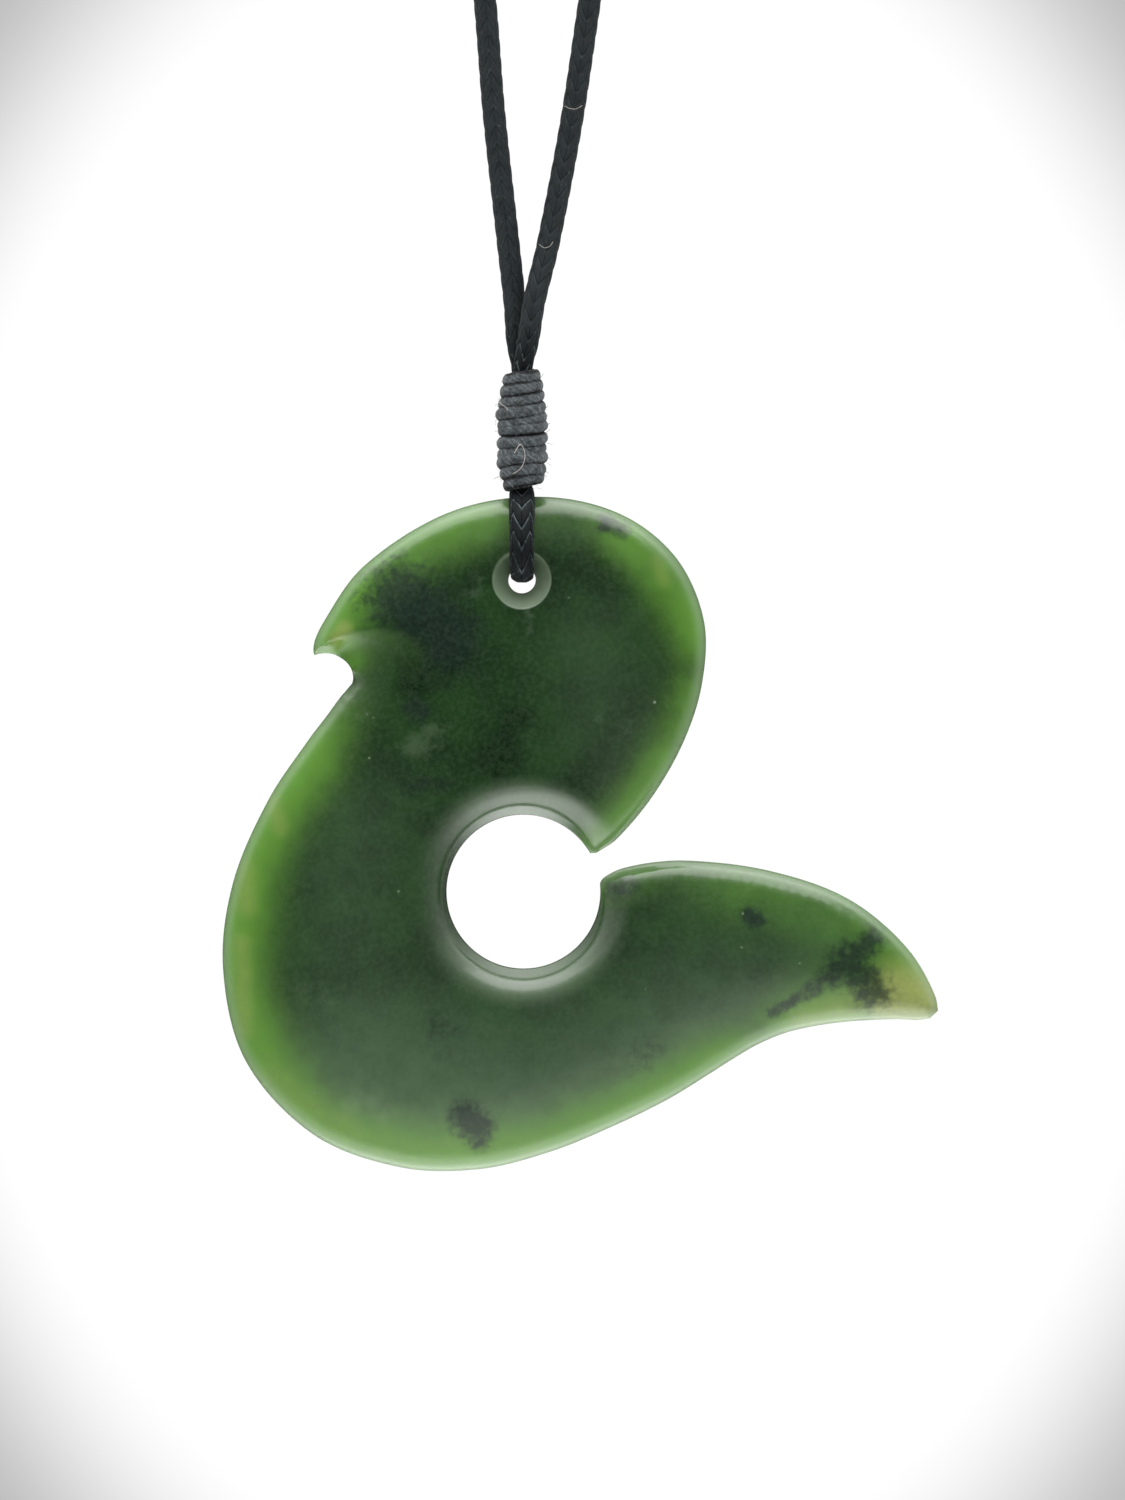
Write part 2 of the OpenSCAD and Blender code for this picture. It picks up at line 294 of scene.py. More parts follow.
def smooth_rows(rows, longest, first, last):
    """Rows of the smooth curve through a table.

    Over the columns first to last they are at most longest apart."""
    table = np.array(rows, float)
    gaps = np.linalg.norm(np.diff(table[:, first : last + 1], axis=0), axis=1)
    slopes = np.empty_like(table)
    slopes[0] = (table[1] - table[0]) / gaps[0]
    slopes[-1] = (table[-1] - table[-2]) / gaps[-1]
    slopes[1:-1] = (table[2:] - table[:-2]) / (gaps[1:] + gaps[:-1])[:, None]
    parts = []
    for i, gap in enumerate(gaps):
        steps = max(1, math.ceil(gap / longest))
        s = (np.arange(steps) / steps)[:, None]
        start = (1 + 2 * s) * table[i] + s * gap * slopes[i]
        end = (3 - 2 * s) * table[i + 1] + (s - 1) * gap * slopes[i + 1]
        parts.append((1 - s) ** 2 * start + s * s * end)
    return np.concatenate(parts + [table[-1:]])


def closed(ring):
    """A ring of points with its first point again at its end."""
    return np.concatenate([ring, ring[:1]])


def run_along(path):
    """Length of a path up to each of its points."""
    return np.concatenate([[0], np.cumsum(np.linalg.norm(np.diff(path, axis=0), axis=1))])


def unit(vectors):
    """The vectors with a length of 1."""
    return vectors / np.linalg.norm(vectors, axis=1)[:, None]


def distance_to_line(points, line):
    """Distance from each point to an open line of points."""
    keep = np.ones(len(line), bool)
    keep[1:] = np.linalg.norm(np.diff(line, axis=0), axis=1) > 1e-9
    line = line[keep]
    start, along = line[:-1], np.diff(line, axis=0)
    length2 = (along**2).sum(1)
    result = np.empty(len(points))
    for i in range(0, len(points), CHUNK):
        away = points[i : i + CHUNK, None, :] - start
        s = np.clip((away * along).sum(2) / length2, 0, 1)
        result[i : i + CHUNK] = np.sqrt(((away - s[..., None] * along) ** 2).sum(2).min(1))
    return result


def inside_loop(points, loop):
    """Which points lie inside a closed loop."""
    a, b = loop, np.roll(loop, -1, axis=0)
    rise = np.where(b[:, 1] == a[:, 1], 1e-12, b[:, 1] - a[:, 1])
    result = np.empty(len(points), bool)
    for i in range(0, len(points), CHUNK):
        x, z = points[i : i + CHUNK, 0, None], points[i : i + CHUNK, 1, None]
        crossed = (a[:, 1] > z) != (b[:, 1] > z)
        at = a[:, 0] + (z - a[:, 1]) * (b[:, 0] - a[:, 0]) / rise
        result[i : i + CHUNK] = (crossed & (x < at)).sum(1) % 2 == 1
    return result


def soft_min(a, b, width):
    """The lesser of two heights, rounded over a width where they meet."""
    h = np.clip(0.5 + 0.5 * (b - a) / width, 0, 1)
    return b * (1 - h) + a * h - width * h * (1 - h)


def smoothstep(x, low, high):
    """0 below low, 1 above high and smooth between."""
    t = np.clip((x - low) / (high - low), 0, 1)
    return t * t * (3 - 2 * t)


def make_object(name, points_mm, faces, material, values=(), sharp_angle=None, corners=()):
    """A mesh object from points in mm, with named values at its points and its faces' corners."""
    mesh = bpy.data.meshes.new(name)
    mesh.from_pydata((np.asarray(points_mm) * MM).tolist(), [], faces)
    mesh.validate()
    mesh.polygons.foreach_set("use_smooth", [True] * len(mesh.polygons))
    for domain, named in (("POINT", values), ("CORNER", corners)):
        for key, numbers in dict(named).items():
            layer = mesh.attributes.new(key, "FLOAT", domain)
            layer.data.foreach_set("value", np.asarray(numbers, np.float32))
    if sharp_angle:
        mesh.set_sharp_from_angle(angle=sharp_angle)
    mesh.materials.append(material)
    mesh.update()
    piece = bpy.data.objects.new(name, mesh)
    bpy.context.scene.collection.objects.link(piece)
    return piece


def tube_quads(rings, sides):
    """Faces of an open tube whose points go around one ring after another."""
    quads = []
    for i in range(rings - 1):
        for j in range(sides):
            k = (j + 1) % sides
            quads.append((i * sides + j, i * sides + k, (i + 1) * sides + k, (i + 1) * sides + j))
    return quads


def swept_tube(path, ups, radii):
    """Points and faces of a tube closed at both ends.

    radii has a row for each point of the path, and a column for each side."""
    count, sides = radii.shape
    side = np.cross(unit(np.gradient(path, axis=0)), ups)
    turn = 2 * np.pi * np.arange(sides) / sides
    ring = (
        np.cos(turn)[None, :, None] * ups[:, None, :]
        + np.sin(turn)[None, :, None] * side[:, None, :]
    )
    points = (path[:, None, :] + radii[..., None] * ring).reshape(-1, 3)
    faces = tube_quads(count, sides)
    faces.append(tuple(range(sides - 1, -1, -1)))
    faces.append(tuple(range((count - 1) * sides, count * sides)))
    return points, faces


def corner_values(per_ring, per_side):
    """Sum of a value of each ring and a value of each side, at a swept tube's face corners.

    per_side has one value more than the tube has sides, so that it may go on past a whole turn."""
    first, last = per_side[:-1], per_side[1:]
    start, end = per_ring[:-1, None], per_ring[1:, None]
    quads = np.stack([start + first, start + last, end + last, end + first], axis=-1)
    return np.concatenate([quads.ravel(), np.zeros(2 * len(first))])


def steady_ups(path, first):
    """A direction square to the path at each point, turned as little as possible from the last."""
    ups = np.empty_like(path)
    up = np.array(first, float)
    for i, ahead in enumerate(unit(np.gradient(path, axis=0))):
        up = up - np.dot(up, ahead) * ahead
        up /= np.linalg.norm(up)
        ups[i] = up
    return ups


class Nodes:
    """Adds nodes to a tree and joins them."""

    def __init__(self, tree):
        self.tree = tree

    def add(self, kind, inputs=None, **options):
        node = self.tree.nodes.new(kind)
        for key, value in options.items():
            setattr(node, key, value)
        for key, value in (inputs or {}).items():
            self.join(value, node.inputs[key])
        return node

    def join(self, value, socket):
        if isinstance(value, bpy.types.NodeSocket):
            self.tree.links.new(value, socket)
        elif socket.type == "RGBA":
            socket.default_value = (*value, 1.0)
        else:
            socket.default_value = value

    def spread(self, value, low, high, to_low=0.0, to_high=1.0):
        """The value eased from the range low to high into the range to_low to to_high."""
        inputs = {0: value, 1: low, 2: high, 3: to_low, 4: to_high}
        node = self.add("ShaderNodeMapRange", inputs, interpolation_type="SMOOTHSTEP")
        return node.outputs[0]

    def math(self, operation, a, b=0.0):
        return self.add("ShaderNodeMath", {0: a, 1: b}, operation=operation).outputs[0]

    def plus(self, a, b):
        return self.math("ADD", a, b)

    def minus(self, a, b):
        return self.math("SUBTRACT", a, b)

    def times(self, a, b):
        return self.math("MULTIPLY", a, b)


class Finish(Nodes):
    """A node material that is built up step by step."""

    def __init__(self, name):
        self.material = bpy.data.materials.new(name)
        self.material.use_nodes = True
        super().__init__(self.material.node_tree)
        self.surface = self.tree.nodes["Principled BSDF"]
        self.place = self.add("ShaderNodeTexCoord").outputs["Object"]

    def noise(self, scale, detail, roughness):
        """Noise from 0 to 1, with scale in lumps to the metre."""
        inputs = {"Vector": self.place, "Scale": scale, "Detail": detail}
        inputs["Roughness"] = roughness
        return self.add("ShaderNodeTexNoise", inputs).outputs["Fac"]

    def mixed(self, share, a, b):
        node = self.add("ShaderNodeMix", data_type="RGBA")
        for key, value in (("Factor", share), ("A", a), ("B", b)):
            self.join(value, node.inputs[key])
        return node.outputs["Result"]

    def layered(self, colour, *layers):
        """A colour under layers, each with its share and its own colour."""
        for share, layer in layers:
            colour = self.mixed(share, colour, layer)
        return colour

    def value_at(self, name):
        """The mesh's named value."""
        return self.add("ShaderNodeAttribute", attribute_name=name).outputs["Fac"]

    def bump(self, height, strength, distance, normal=None):
        inputs = {"Height": height, "Strength": strength, "Distance": distance}
        if normal is not None:
            inputs["Normal"] = normal
        return self.add("ShaderNodeBump", inputs).outputs["Normal"]

    def done(self, **sockets):
        """The material, with the shader's sockets set or joined."""
        for key, value in sockets.items():
            self.join(value, self.surface.inputs[key.replace("_", " ")])
        return self.material


def polished_stone(s):
    """Polished nephrite, mottled and dark, with clouds and inclusions. Its painted light is
    backlit bright thin edges, highlights on the rim and round the eye, and a sheen on the lower
    body.
    """
    f = Finish("polished_greenstone")
    mottle = f.noise(190.0, 2.0, 0.5)
    clouds = f.noise(650.0, 5.0, 0.65)
    grain = f.noise(2600.0, 3.0, 0.6)
    broken = f.noise(1500.0, 3.0, 0.55)
    scratches = f.noise(900.0, 6.0, 0.7)
    ground, scoop = f.value_at("ground"), f.value_at("scoop")

    def ragged(name, low, high, share, lumps=clouds):
        """A patch whose edge is broken up by lumps."""
        value = f.value_at(name)
        reach = f.times(f.math("MINIMUM", f.times(value, 2.5), 1.0), share)
        shift = f.times(f.minus(lumps, 0.5), reach)
        return f.spread(f.plus(value, shift), low, high)

    cells = {"Vector": f.place, "Scale": 420.0, "Randomness": 1.0}
    fleck = f.add("ShaderNodeTexVoronoi", cells).outputs["Distance"]
    fleck = f.times(f.spread(fleck, 0.03, 0.07, 1.0, 0.0), f.spread(clouds, 0.5, 0.6))
    # Pale where the countersink is ground matt, and a painted highlight on the eye's rim
    pale = f.math("MAXIMUM", f.times(ground, 0.85), f.times(f.value_at("eye_highlight"), 0.45))
    colour = f.layered(
        s.deep_green,
        (f.spread(mottle, 0.34, 0.66), s.mid_green),
        # Painted sheen: a greyish green reflection of soft light on the lower body
        (f.times(f.value_at("painted_sheen"), f.spread(clouds, 0.2, 0.75, 0.7, 1.0)), s.sheen_and_grain_green),
        # Painted backlight: the thin edges shine bright green, as if lit through from behind
        (ragged("painted_backlight", 0.0, 1.0, 0.3), s.backlit_edge_green),
        # Painted backlight too: yellow green at the thinnest edges and the tail's tip
        (ragged("olive", 0.1, 0.9, 0.25), s.olive_green),
        (f.times(ragged("wisp", 0.3, 1.0, 1.6), 0.16), s.ground_and_highlight_green),
        (f.times(ragged("dark", 0.12, 0.98, 1.3, broken), 0.85), s.inclusion),
        # Fine grain in the stone itself, in the sheen's greyish green
        (f.spread(grain, 0.35, 0.7, 0.0, 0.16), s.sheen_and_grain_green),
        (fleck, s.fleck),
        # Painted highlight: a pale line along the outermost rim
        (f.times(f.value_at("thin"), 0.5), s.ground_and_highlight_green),
        (pale, s.ground_and_highlight_green),
        # Painted backlight in the thinner scoop of the notch
        (f.times(scoop, 0.26), s.backlit_edge_green),
    )
    polish = f.spread(scratches, 0.3, 0.7, 0.17, 0.25)
    return f.done(
        Base_Color=colour,
        Roughness=f.math("MAXIMUM", polish, f.times(ground, 0.6)),
        Specular_IOR_Level=f.spread(scoop, 0.0, 1.0, 0.5, 0.35),
        IOR=1.52,
        Subsurface_Weight=0.12,
        Subsurface_Scale=0.002,
        Subsurface_Radius=(0.35, 1.0, 0.25),
        Coat_Weight=f.spread(scoop, 0.0, 1.0, 0.15, 0.03),
        Coat_Roughness=0.15,
        Normal=f.bump(scratches, 0.05, 0.0002),
    )


def waxed_braid(s):
    """Matt black waxed cotton, with its threads along each strand, a dusting of pale wax, painted
    shade in its grooves and a painted highlight on its strands' edges.
    """
    f = Finish("waxed_braid")

    def fold(value):
        """0 halfway between whole numbers and 1 at them."""
        return f.times(f.math("ABSOLUTE", f.minus(f.math("FRACT", value), 0.5)), 2.0)

    # As in braid_height, which shapes the strands: off_middle is 1 in the grooves
    lean = fold(f.value_at("column"))
    along = f.plus(f.value_at("stitch"), f.times(lean, STITCH_LEAN))
    off_middle = fold(along)
    off_column = f.math("ABSOLUTE", f.minus(f.times(lean, 2.0), 1.0))
    body = f.times(
        f.spread(off_middle, 1.0, 0.70, 0.2, 1.0), f.spread(off_column, 1.0, 0.80, 0.4, 1.0)
    )
    plain = f.value_at("plain")
    body = f.math("MAXIMUM", body, f.times(plain, 0.62))
    patches = f.noise(900.0, 4.0, 0.6)
    dust = f.noise(5200.0, 2.0, 0.7)
    # Nearly six threads to a stitch
    uneven = f.times(f.noise(2500.0, 2.0, 0.5), 0.35)
    thread = f.math("SINE", f.times(f.plus(along, uneven), 36.0))
    wax = f.times(f.spread(thread, 0.2, 1.0), f.spread(patches, 0.3, 0.7, 0.15, 0.75))
    # A painted highlight lies along one side of each strand's edges, most of all on the leg in
    # front of the stone
    edge = f.times(f.spread(off_middle, 0.5, 0.80), f.spread(off_middle, 0.98, 0.88))
    edge = f.times(edge, f.spread(f.math("FRACT", along), 0.45, 0.6))
    edge = f.times(edge, f.spread(patches, 0.38, 0.62, 0.1, 1.0))
    edge = f.times(edge, f.spread(plain, 0.0, 1.0, 1.0, 0.2))
    # Painted shade: the grooves between the strands are dark
    colour = f.layered(
        s.groove_shade_colour,
        (body, s.colour),
        (f.times(wax, body), s.wax_colour),
        (f.times(plain, 0.2), s.wax_colour),
        # Painted shade: the leg below the whipping, in front of the stone, is darkened
        (f.times(f.minus(1.0, plain), 0.5), s.groove_shade_colour),
        (edge, s.edge_highlight_colour),
        (f.spread(dust, 0.64, 0.80, 0.0, 0.7), s.dust_colour),
    )
    shine = f.times(f.spread(body, 0.3, 1.0, 0.01, 0.22), f.spread(plain, 0.0, 1.0, 0.4, 1.0))
    return f.done(
        Base_Color=colour,
        Roughness=f.spread(patches, 0.3, 0.7, 0.42, 0.7),
        Specular_IOR_Level=shine,
        Sheen_Weight=0.06,
        Sheen_Roughness=0.4,
        Normal=f.bump(thread, 0.35, 0.00003, f.bump(body, 0.35, 0.00008)),
    )


def waxed_twine(name, s):
    """Charcoal waxed twine with visible plies, painted shade in its creases, and worn, paler
    crests that carry a painted highlight.
    """
    f = Finish(name)
    relief = f.value_at("relief")
    patches = f.noise(1300.0, 4.0, 0.6)
    lint = f.noise(5200.0, 3.0, 0.7)
    # Six fibres to a turn of the plies
    uneven = f.times(f.noise(1800.0, 3.0, 0.6), 0.30)
    fibre = f.math("SINE", f.times(f.plus(f.value_at("fibre"), uneven), 37.7))
    # Paler crests: partly wear, partly a painted highlight
    worn = f.times(f.spread(patches, 0.35, 0.65, 0.05, 0.9), f.spread(fibre, -0.2, 1.0, 0.4, 1.0))
    # Painted shade where the relief is low: in the creases between the turns and between the plies
    colour = f.layered(
        s.groove_shade_colour,
        (f.spread(relief, 0.1, 0.9), s.colour),
        (f.times(worn, relief), s.worn_and_highlight_colour),
        (f.spread(lint, 0.58, 0.72, 0.0, 0.75), s.lint_colour),
    )
    return f.done(
        Base_Color=colour,
        Roughness=f.spread(patches, 0.3, 0.7, 0.6, 0.85),
        Specular_IOR_Level=f.spread(relief, 0.1, 0.9, 0.05, 0.35),
        Sheen_Weight=0.12,
        Sheen_Roughness=0.5,
        Normal=f.bump(fibre, 0.3, 0.00004, f.bump(lint, 0.7, 0.00006)),
    )


def uneven_fibre(name, dark, pale, roughness):
    """Thin fibre, slightly uneven along its length."""
    f = Finish(name)
    colour = f.mixed(f.noise(3000.0, 2.0, 0.5), dark, pale)
    return f.done(Base_Color=colour, Roughness=roughness)


def pale_paper():
    """Plain pale matt floor with a faint paper grain."""
    f = Finish("pale_floor")
    pale = f.mixed(f.noise(600.0, 4.0, 0.6), (0.80, 0.80, 0.80), (0.86, 0.86, 0.86))
    return f.done(Base_Color=pale, Roughness=0.9, Specular_IOR_Level=0.1)


def soft_tent(s):
    """White tent with a dark opening in front and behind, and less light from the sides.

    The camera sees plain white instead, a little greyer well off the middle of the picture."""
    world = bpy.data.worlds.new("soft_tent")
    world.use_nodes = True
    world.node_tree.nodes.clear()
    t = Nodes(world.node_tree)
    way = t.add("ShaderNodeTexCoord").outputs["Generated"]
    x, y, z = t.add("ShaderNodeSeparateXYZ", {0: way}).outputs
    z2 = t.times(z, z)

    # The opening closes sooner below, where soft light comes up to the stone
    facing = t.plus(t.math("ABSOLUTE", y), t.times(z, 0.09))
    facing = t.plus(facing, t.times(t.math("MINIMUM", z, 0.0), 0.3))
    opening = t.spread(facing, 0.92, 0.58, s.opening_light, 1.0)
    opening = t.times(opening, t.spread(facing, 0.55, 0.15, 1.0, s.rim_light))
    across = t.plus(t.plus(t.times(x, x), z2), 0.02)
    upright = t.math("POWER", t.math("DIVIDE", z2, across), 1.8)
    side = t.plus(t.times(upright, 1 - s.side_light), s.side_light)
    below = t.add("ShaderNodeMapRange", {0: z, 1: 0.15, 2: -0.45, 3: 1.0, 4: s.low_light})
    side = t.times(side, below.outputs[0])
    light = t.times(t.times(opening, side), s.tent_light)

    off_middle = t.plus(t.times(t.times(x, x), 178.0), t.times(z2, 100.0))
    shade = t.spread(off_middle, 1.15, 2.1, 1.02, 0.50)
    tent, plain = [
        t.add("ShaderNodeBackground", {"Color": (1, 1, 1), "Strength": strength}).outputs[0]
        for strength in (light, shade)
    ]
    seen = t.add("ShaderNodeLightPath").outputs["Is Camera Ray"]
    mix = t.add("ShaderNodeMixShader", {0: seen, 1: tent, 2: plain})
    t.add("ShaderNodeOutputWorld", {"Surface": mix.outputs[0]})
    return world


def length_setting(name, description, default):
    return FloatProperty(
        name=name,
        description=description,
        default=default,
        min=0.0,
        unit="LENGTH",
        subtype="DISTANCE",
        precision=5,
    )


def colour_setting(name, description, default):
    return FloatVectorProperty(
        name=name,
        description=description,
        default=default,
        size=3,
        min=0.0,
        max=1.0,
        subtype="COLOR",
    )


def angle_setting(name, description, degrees):
    return FloatProperty(
        name=name, description=description, default=math.radians(degrees), subtype="ANGLE"
    )


def light_setting(name, description, default, most=10.0):
    return FloatProperty(
        name=name, description=description, default=default, min=0.0, max=most, subtype="FACTOR"
    )


def count_setting(name, description, default, least, most):
    return IntProperty(
        name=name, description=description, default=default, min=least, max=most
    )


class StoneSettings(bpy.types.PropertyGroup):
    """Sizes and colours of the carved stone."""

    width: length_setting("Width", "Width of the hook", 0.057)
    height: length_setting("Height", "Height of the hook", 0.0538)
    thickness: length_setting("Thickness", "Full thickness of the stone", 0.006)
    edge_round: length_setting("Edge round", "Radius of the rounded outer edge", 0.001)
    edge_land: length_setting("Edge land", "Flat left on the outer edge", 0.0003)
    pillow: length_setting("Pillow", "How far in from its edge a face still rises", 0.008)
    eye_diameter: length_setting("Eye", "Diameter of the round eye", 0.0124)
    eye_rim: length_setting("Eye rim", "Width of the rounded rim of the eye", 0.0028)
    eye_wall: length_setting("Eye wall", "Thickness left at the eye", 0.0018)
    hole_diameter: length_setting("Cord hole", "Diameter of the cord hole", 0.0022)
    hole_drop: length_setting("Hole drop", "Cord hole's centre below the top", 0.0066)
    sink_diameter: length_setting("Countersink", "Diameter of the countersink", 0.0048)
    sink_depth: length_setting("Countersink depth", "Depth of the countersink", 0.0013)
    notch_apex: length_setting("Notch depth", "Depth of the notch behind the middle", 0.0023)
    notch_angle: angle_setting("Notch angle", "Half the angle of the notch's scoop", 32)
    notch_lean: angle_setting("Notch lean", "Lean of the scoop towards the stone's middle", 28)
    notch_turn: angle_setting("Notch turn", "Turn of the scoop below the horizontal", 12)
    grid: length_setting("Grid", "Distance between the points of a face", 0.00034)
    deep_green: colour_setting("Deep green", "Darkest green of the body", (0.0060, 0.0200, 0.0062))
    mid_green: colour_setting("Mid green", "Usual green of the body", (0.0135, 0.0430, 0.0105))
    # Colour of the painted sheen on the lower body, and of the stone's fine grain
    sheen_and_grain_green: colour_setting("Veil", "Greyish green of the lower body", (0.072, 0.124, 0.066))
    # Colour of the painted backlight at the thin edges and in the notch's scoop
    backlit_edge_green: colour_setting("Edge", "Bright green of the thin edges", (0.102, 0.255, 0.030))
    # Colour of the painted backlight at the thinnest edges and the tip
    olive_green: colour_setting("Olive", "Yellow green of the tip", (0.270, 0.320, 0.095))
    # Also the colour of the painted highlights on the outer rim and round the eye
    ground_and_highlight_green: colour_setting("Ground", "Pale green of ground edges", (0.190, 0.260, 0.165))
    inclusion: colour_setting("Inclusion", "Dark blue green spots", (0.0095, 0.0190, 0.0155))
    fleck: colour_setting("Fleck", "Pale green specks", (0.20, 0.26, 0.17))


class CordSettings(bpy.types.PropertyGroup):
    """Sizes and colours of the braided cord."""

    diameter: length_setting("Diameter", "Diameter of the cord", 0.002)
    lay: length_setting("Lay", "Length of one turn of a strand around the cord", 0.0058)
    relief: length_setting("Relief", "Height of the strands above their grooves", 0.00014)
    strands: count_setting("Strands", "Strands of the braid", 8, 4, 16)
    colour: colour_setting("Colour", "Black of the strands", (0.0090, 0.0122, 0.0134))
    # Painted shade in the grooves between the strands
    groove_shade_colour: colour_setting("Grooves", "Between the strands", (0.0028, 0.0034, 0.0037))
    wax_colour: colour_setting("Wax", "Bluish grey of the wax", (0.034, 0.044, 0.048))
    # Colour of the painted highlight on the strands' edges
    edge_highlight_colour: colour_setting("Edges", "Grey of the strands' worn edges", (0.085, 0.110, 0.114))
    dust_colour: colour_setting("Dust", "Pale grey of the dust", (0.16, 0.17, 0.19))


class TwineSettings(bpy.types.PropertyGroup):
    """Sizes and colours of the two bindings."""

    whipping_length: length_setting("Whipping", "Length of the whipping", 0.0098)
    whipping_gap: length_setting("Gap", "Whipping above the top of the stone", 0.0005)
    turns: count_setting("Turns", "Turns of the whipping", 11, 6, 16)
    join_length: length_setting("Join", "Length of the binding at the nape", 0.014)
    join_wall: length_setting("Join wall", "Thickness of the binding at the nape", 0.001)
    join_thread: length_setting("Join thread", "Pitch of the thread at the nape", 0.0007)
    lint: count_setting("Lint", "Short fibres that stand off", 170, 1, 500)
    colour: colour_setting("Colour", "Charcoal of the twine", (0.021, 0.028, 0.032))
    # Painted shade in the creases between the plies and the turns
    groove_shade_colour: colour_setting("Grooves", "Between the plies", (0.0022, 0.0024, 0.0026))
    # Colour of the worn crests and of the painted highlight on them
    worn_and_highlight_colour: colour_setting("Worn", "Paler worn crests", (0.150, 0.172, 0.182))
    lint_colour: colour_setting("Fluff", "Grey fluff on the twine", (0.26, 0.26, 0.27))


class StudioSettings(bpy.types.PropertyGroup):
    """Sizes of the view and strengths of the light."""

    view_height: length_setting("View height", "Height that the picture holds", 0.120)
    distance: length_setting("Distance", "Camera to the stone", 0.6)
    tent_light: light_setting("Tent", "Brightness of the white tent", 2.1)
    rim_light: light_setting("Rim", "Times as bright where the tent is square to the view", 3.0)
    side_light: light_setting("Sides", "Share of it from the sides", 0.13, 1.0)
    low_light: light_setting("Below", "Share of it from below", 0.66, 1.0)
    opening_light: light_setting("Opening", "Share of it in the opening", 0.03, 1.0)
    top_light: FloatProperty(
        name="Top light", description="Power of the top light", default=0.8, min=0.0, unit="POWER"
    )


class HookShape:
    """The hook's outline and the height of its faces, in mm from the cord hole's centre."""

    def __init__(self, s):
        self.s = s
        self.width, self.height = mm(s.width), mm(s.height)
        self.drop, self.thick = mm(s.hole_drop), mm(s.thickness)
        self.eye_mid = self.place(*EYE_AT)
        self.eye_r, self.hole_r = mm(s.eye_diameter) / 2, mm(s.hole_diameter) / 2
        rows = smooth_rows(SECTION_TABLE, 0.004, 2, 3)
        turn, reach = np.radians(rows[:, 0]), np.maximum(0, rows[:, 1]) * self.width
        inner = self.around_eye(turn, self.eye_r + reach)
        outer = self.place(rows[:, 2], rows[:, 3])
        tail = np.nonzero(reach > 0)[0][::-1]
        self.outline = np.concatenate([inner[:1], outer, inner[tail]])
        arc = np.radians(np.arange(rows[tail[-1], 0] - 1.5, rows[0, 0] + 0.7, -1.5))
        self.loop = np.concatenate([self.outline, self.around_eye(arc, self.eye_r)])

    def place(self, right, down):
        """Point at shares of the width and the height."""
        x, z = np.multiply(right, self.width), self.drop - np.multiply(down, self.height)
        return np.stack(np.broadcast_arrays(x, z), axis=-1)

    def around_eye(self, turn, radius):
        return self.eye_mid + np.stack([radius * np.cos(turn), radius * np.sin(turn)], axis=-1)

    def crown(self, p):
        """Share of the full thickness: the tail and the head's beak are thinner."""
        right = p[:, 0] / self.width
        turns, _, rights, _, shares = np.array(SECTION_TABLE).T
        tail = np.interp(right, rights[-TAIL_ROWS:], shares[-TAIL_ROWS:])
        away = p - self.eye_mid
        turn = np.degrees(np.arctan2(away[:, 1], away[:, 0]))
        beak = np.interp(turn, turns[:BEAK_ROWS], shares[:BEAK_ROWS])
        return np.where((turn > 10) & (turn < 50) & (right < 0.3), beak, tail)

    def base_height(self, p, to_edge):
        """Height of a face above the stone's middle, before the hole and the notch are cut."""
        s = self.s
        radius, pillow, rim = mm(s.edge_round), mm(s.pillow), mm(s.eye_rim)
        wall = mm(s.eye_wall) / self.thick
        quarter = lambda d, r: np.sqrt(1 - (1 - np.minimum(np.maximum(d, 0), r) / r) ** 2)
        rise = radius * quarter(to_edge, radius) + (self.thick / 2 - radius) * (
            1 - (1 - np.minimum(to_edge, pillow) / pillow) ** 2
        )
        away = p - self.eye_mid
        from_eye = np.linalg.norm(away, axis=1) - self.eye_r
        swell = lambda d: 0.5 * quarter(d, rim) + 0.5 * (1 - (1 - np.clip(d / rim, 0, 1)) ** 2)
        eye = wall + (1 - wall) * swell(from_eye)
        # A narrow bevel breaks the eye's edge, wider above and below than at the sides
        bevel = 0.25 + 0.5 * np.abs(np.sin(np.arctan2(away[:, 1], away[:, 0]))) ** 1.5
        at_bevel = wall + (1 - wall) * swell(bevel)
        chamfer = wall + (at_bevel - wall) * np.maximum(from_eye, 0) / bevel
        eye = np.where(from_eye < bevel, np.minimum(eye, chamfer), eye)
        return np.maximum(mm(s.edge_land) / 2, self.crown(p) * rise * eye)

    def notch_cone(self):
        """Apex, axis and half angle of the scoop that cuts the barb's notch into the front."""
        s = self.s
        apex = self.place(*NOTCH_AT)
        lean, turn = s.notch_lean, s.notch_turn
        x, y = math.sin(lean), -math.cos(lean)
        axis = np.array([x * math.cos(turn), y, -x * math.sin(turn)])
        return np.array([apex[0], mm(s.notch_apex), apex[1]]), axis, s.notch_angle

    def notch_height(self, p):
        """Height at which the scoop meets a line square to the face."""
        apex, axis, angle = self.notch_cone()
        c2 = math.cos(angle) ** 2
        w = np.stack([p[:, 0] - apex[0], p[:, 1] - apex[2]], axis=1)
        along = w[:, 0] * axis[0] + w[:, 1] * axis[2]
        a = axis[1] ** 2 - c2
        b = 2 * along * axis[1]
        c = along**2 - c2 * (w**2).sum(1)
        root = np.sqrt(np.maximum(0, b * b - 4 * a * c))
        first, second = (-b + root) / (2 * a), (-b - root) / (2 * a)
        ahead = np.maximum(
            np.where(along + first * axis[1] >= -1e-9, first, -np.inf),
            np.where(along + second * axis[1] >= -1e-9, second, -np.inf),
        )
        return -(apex[1] + ahead)

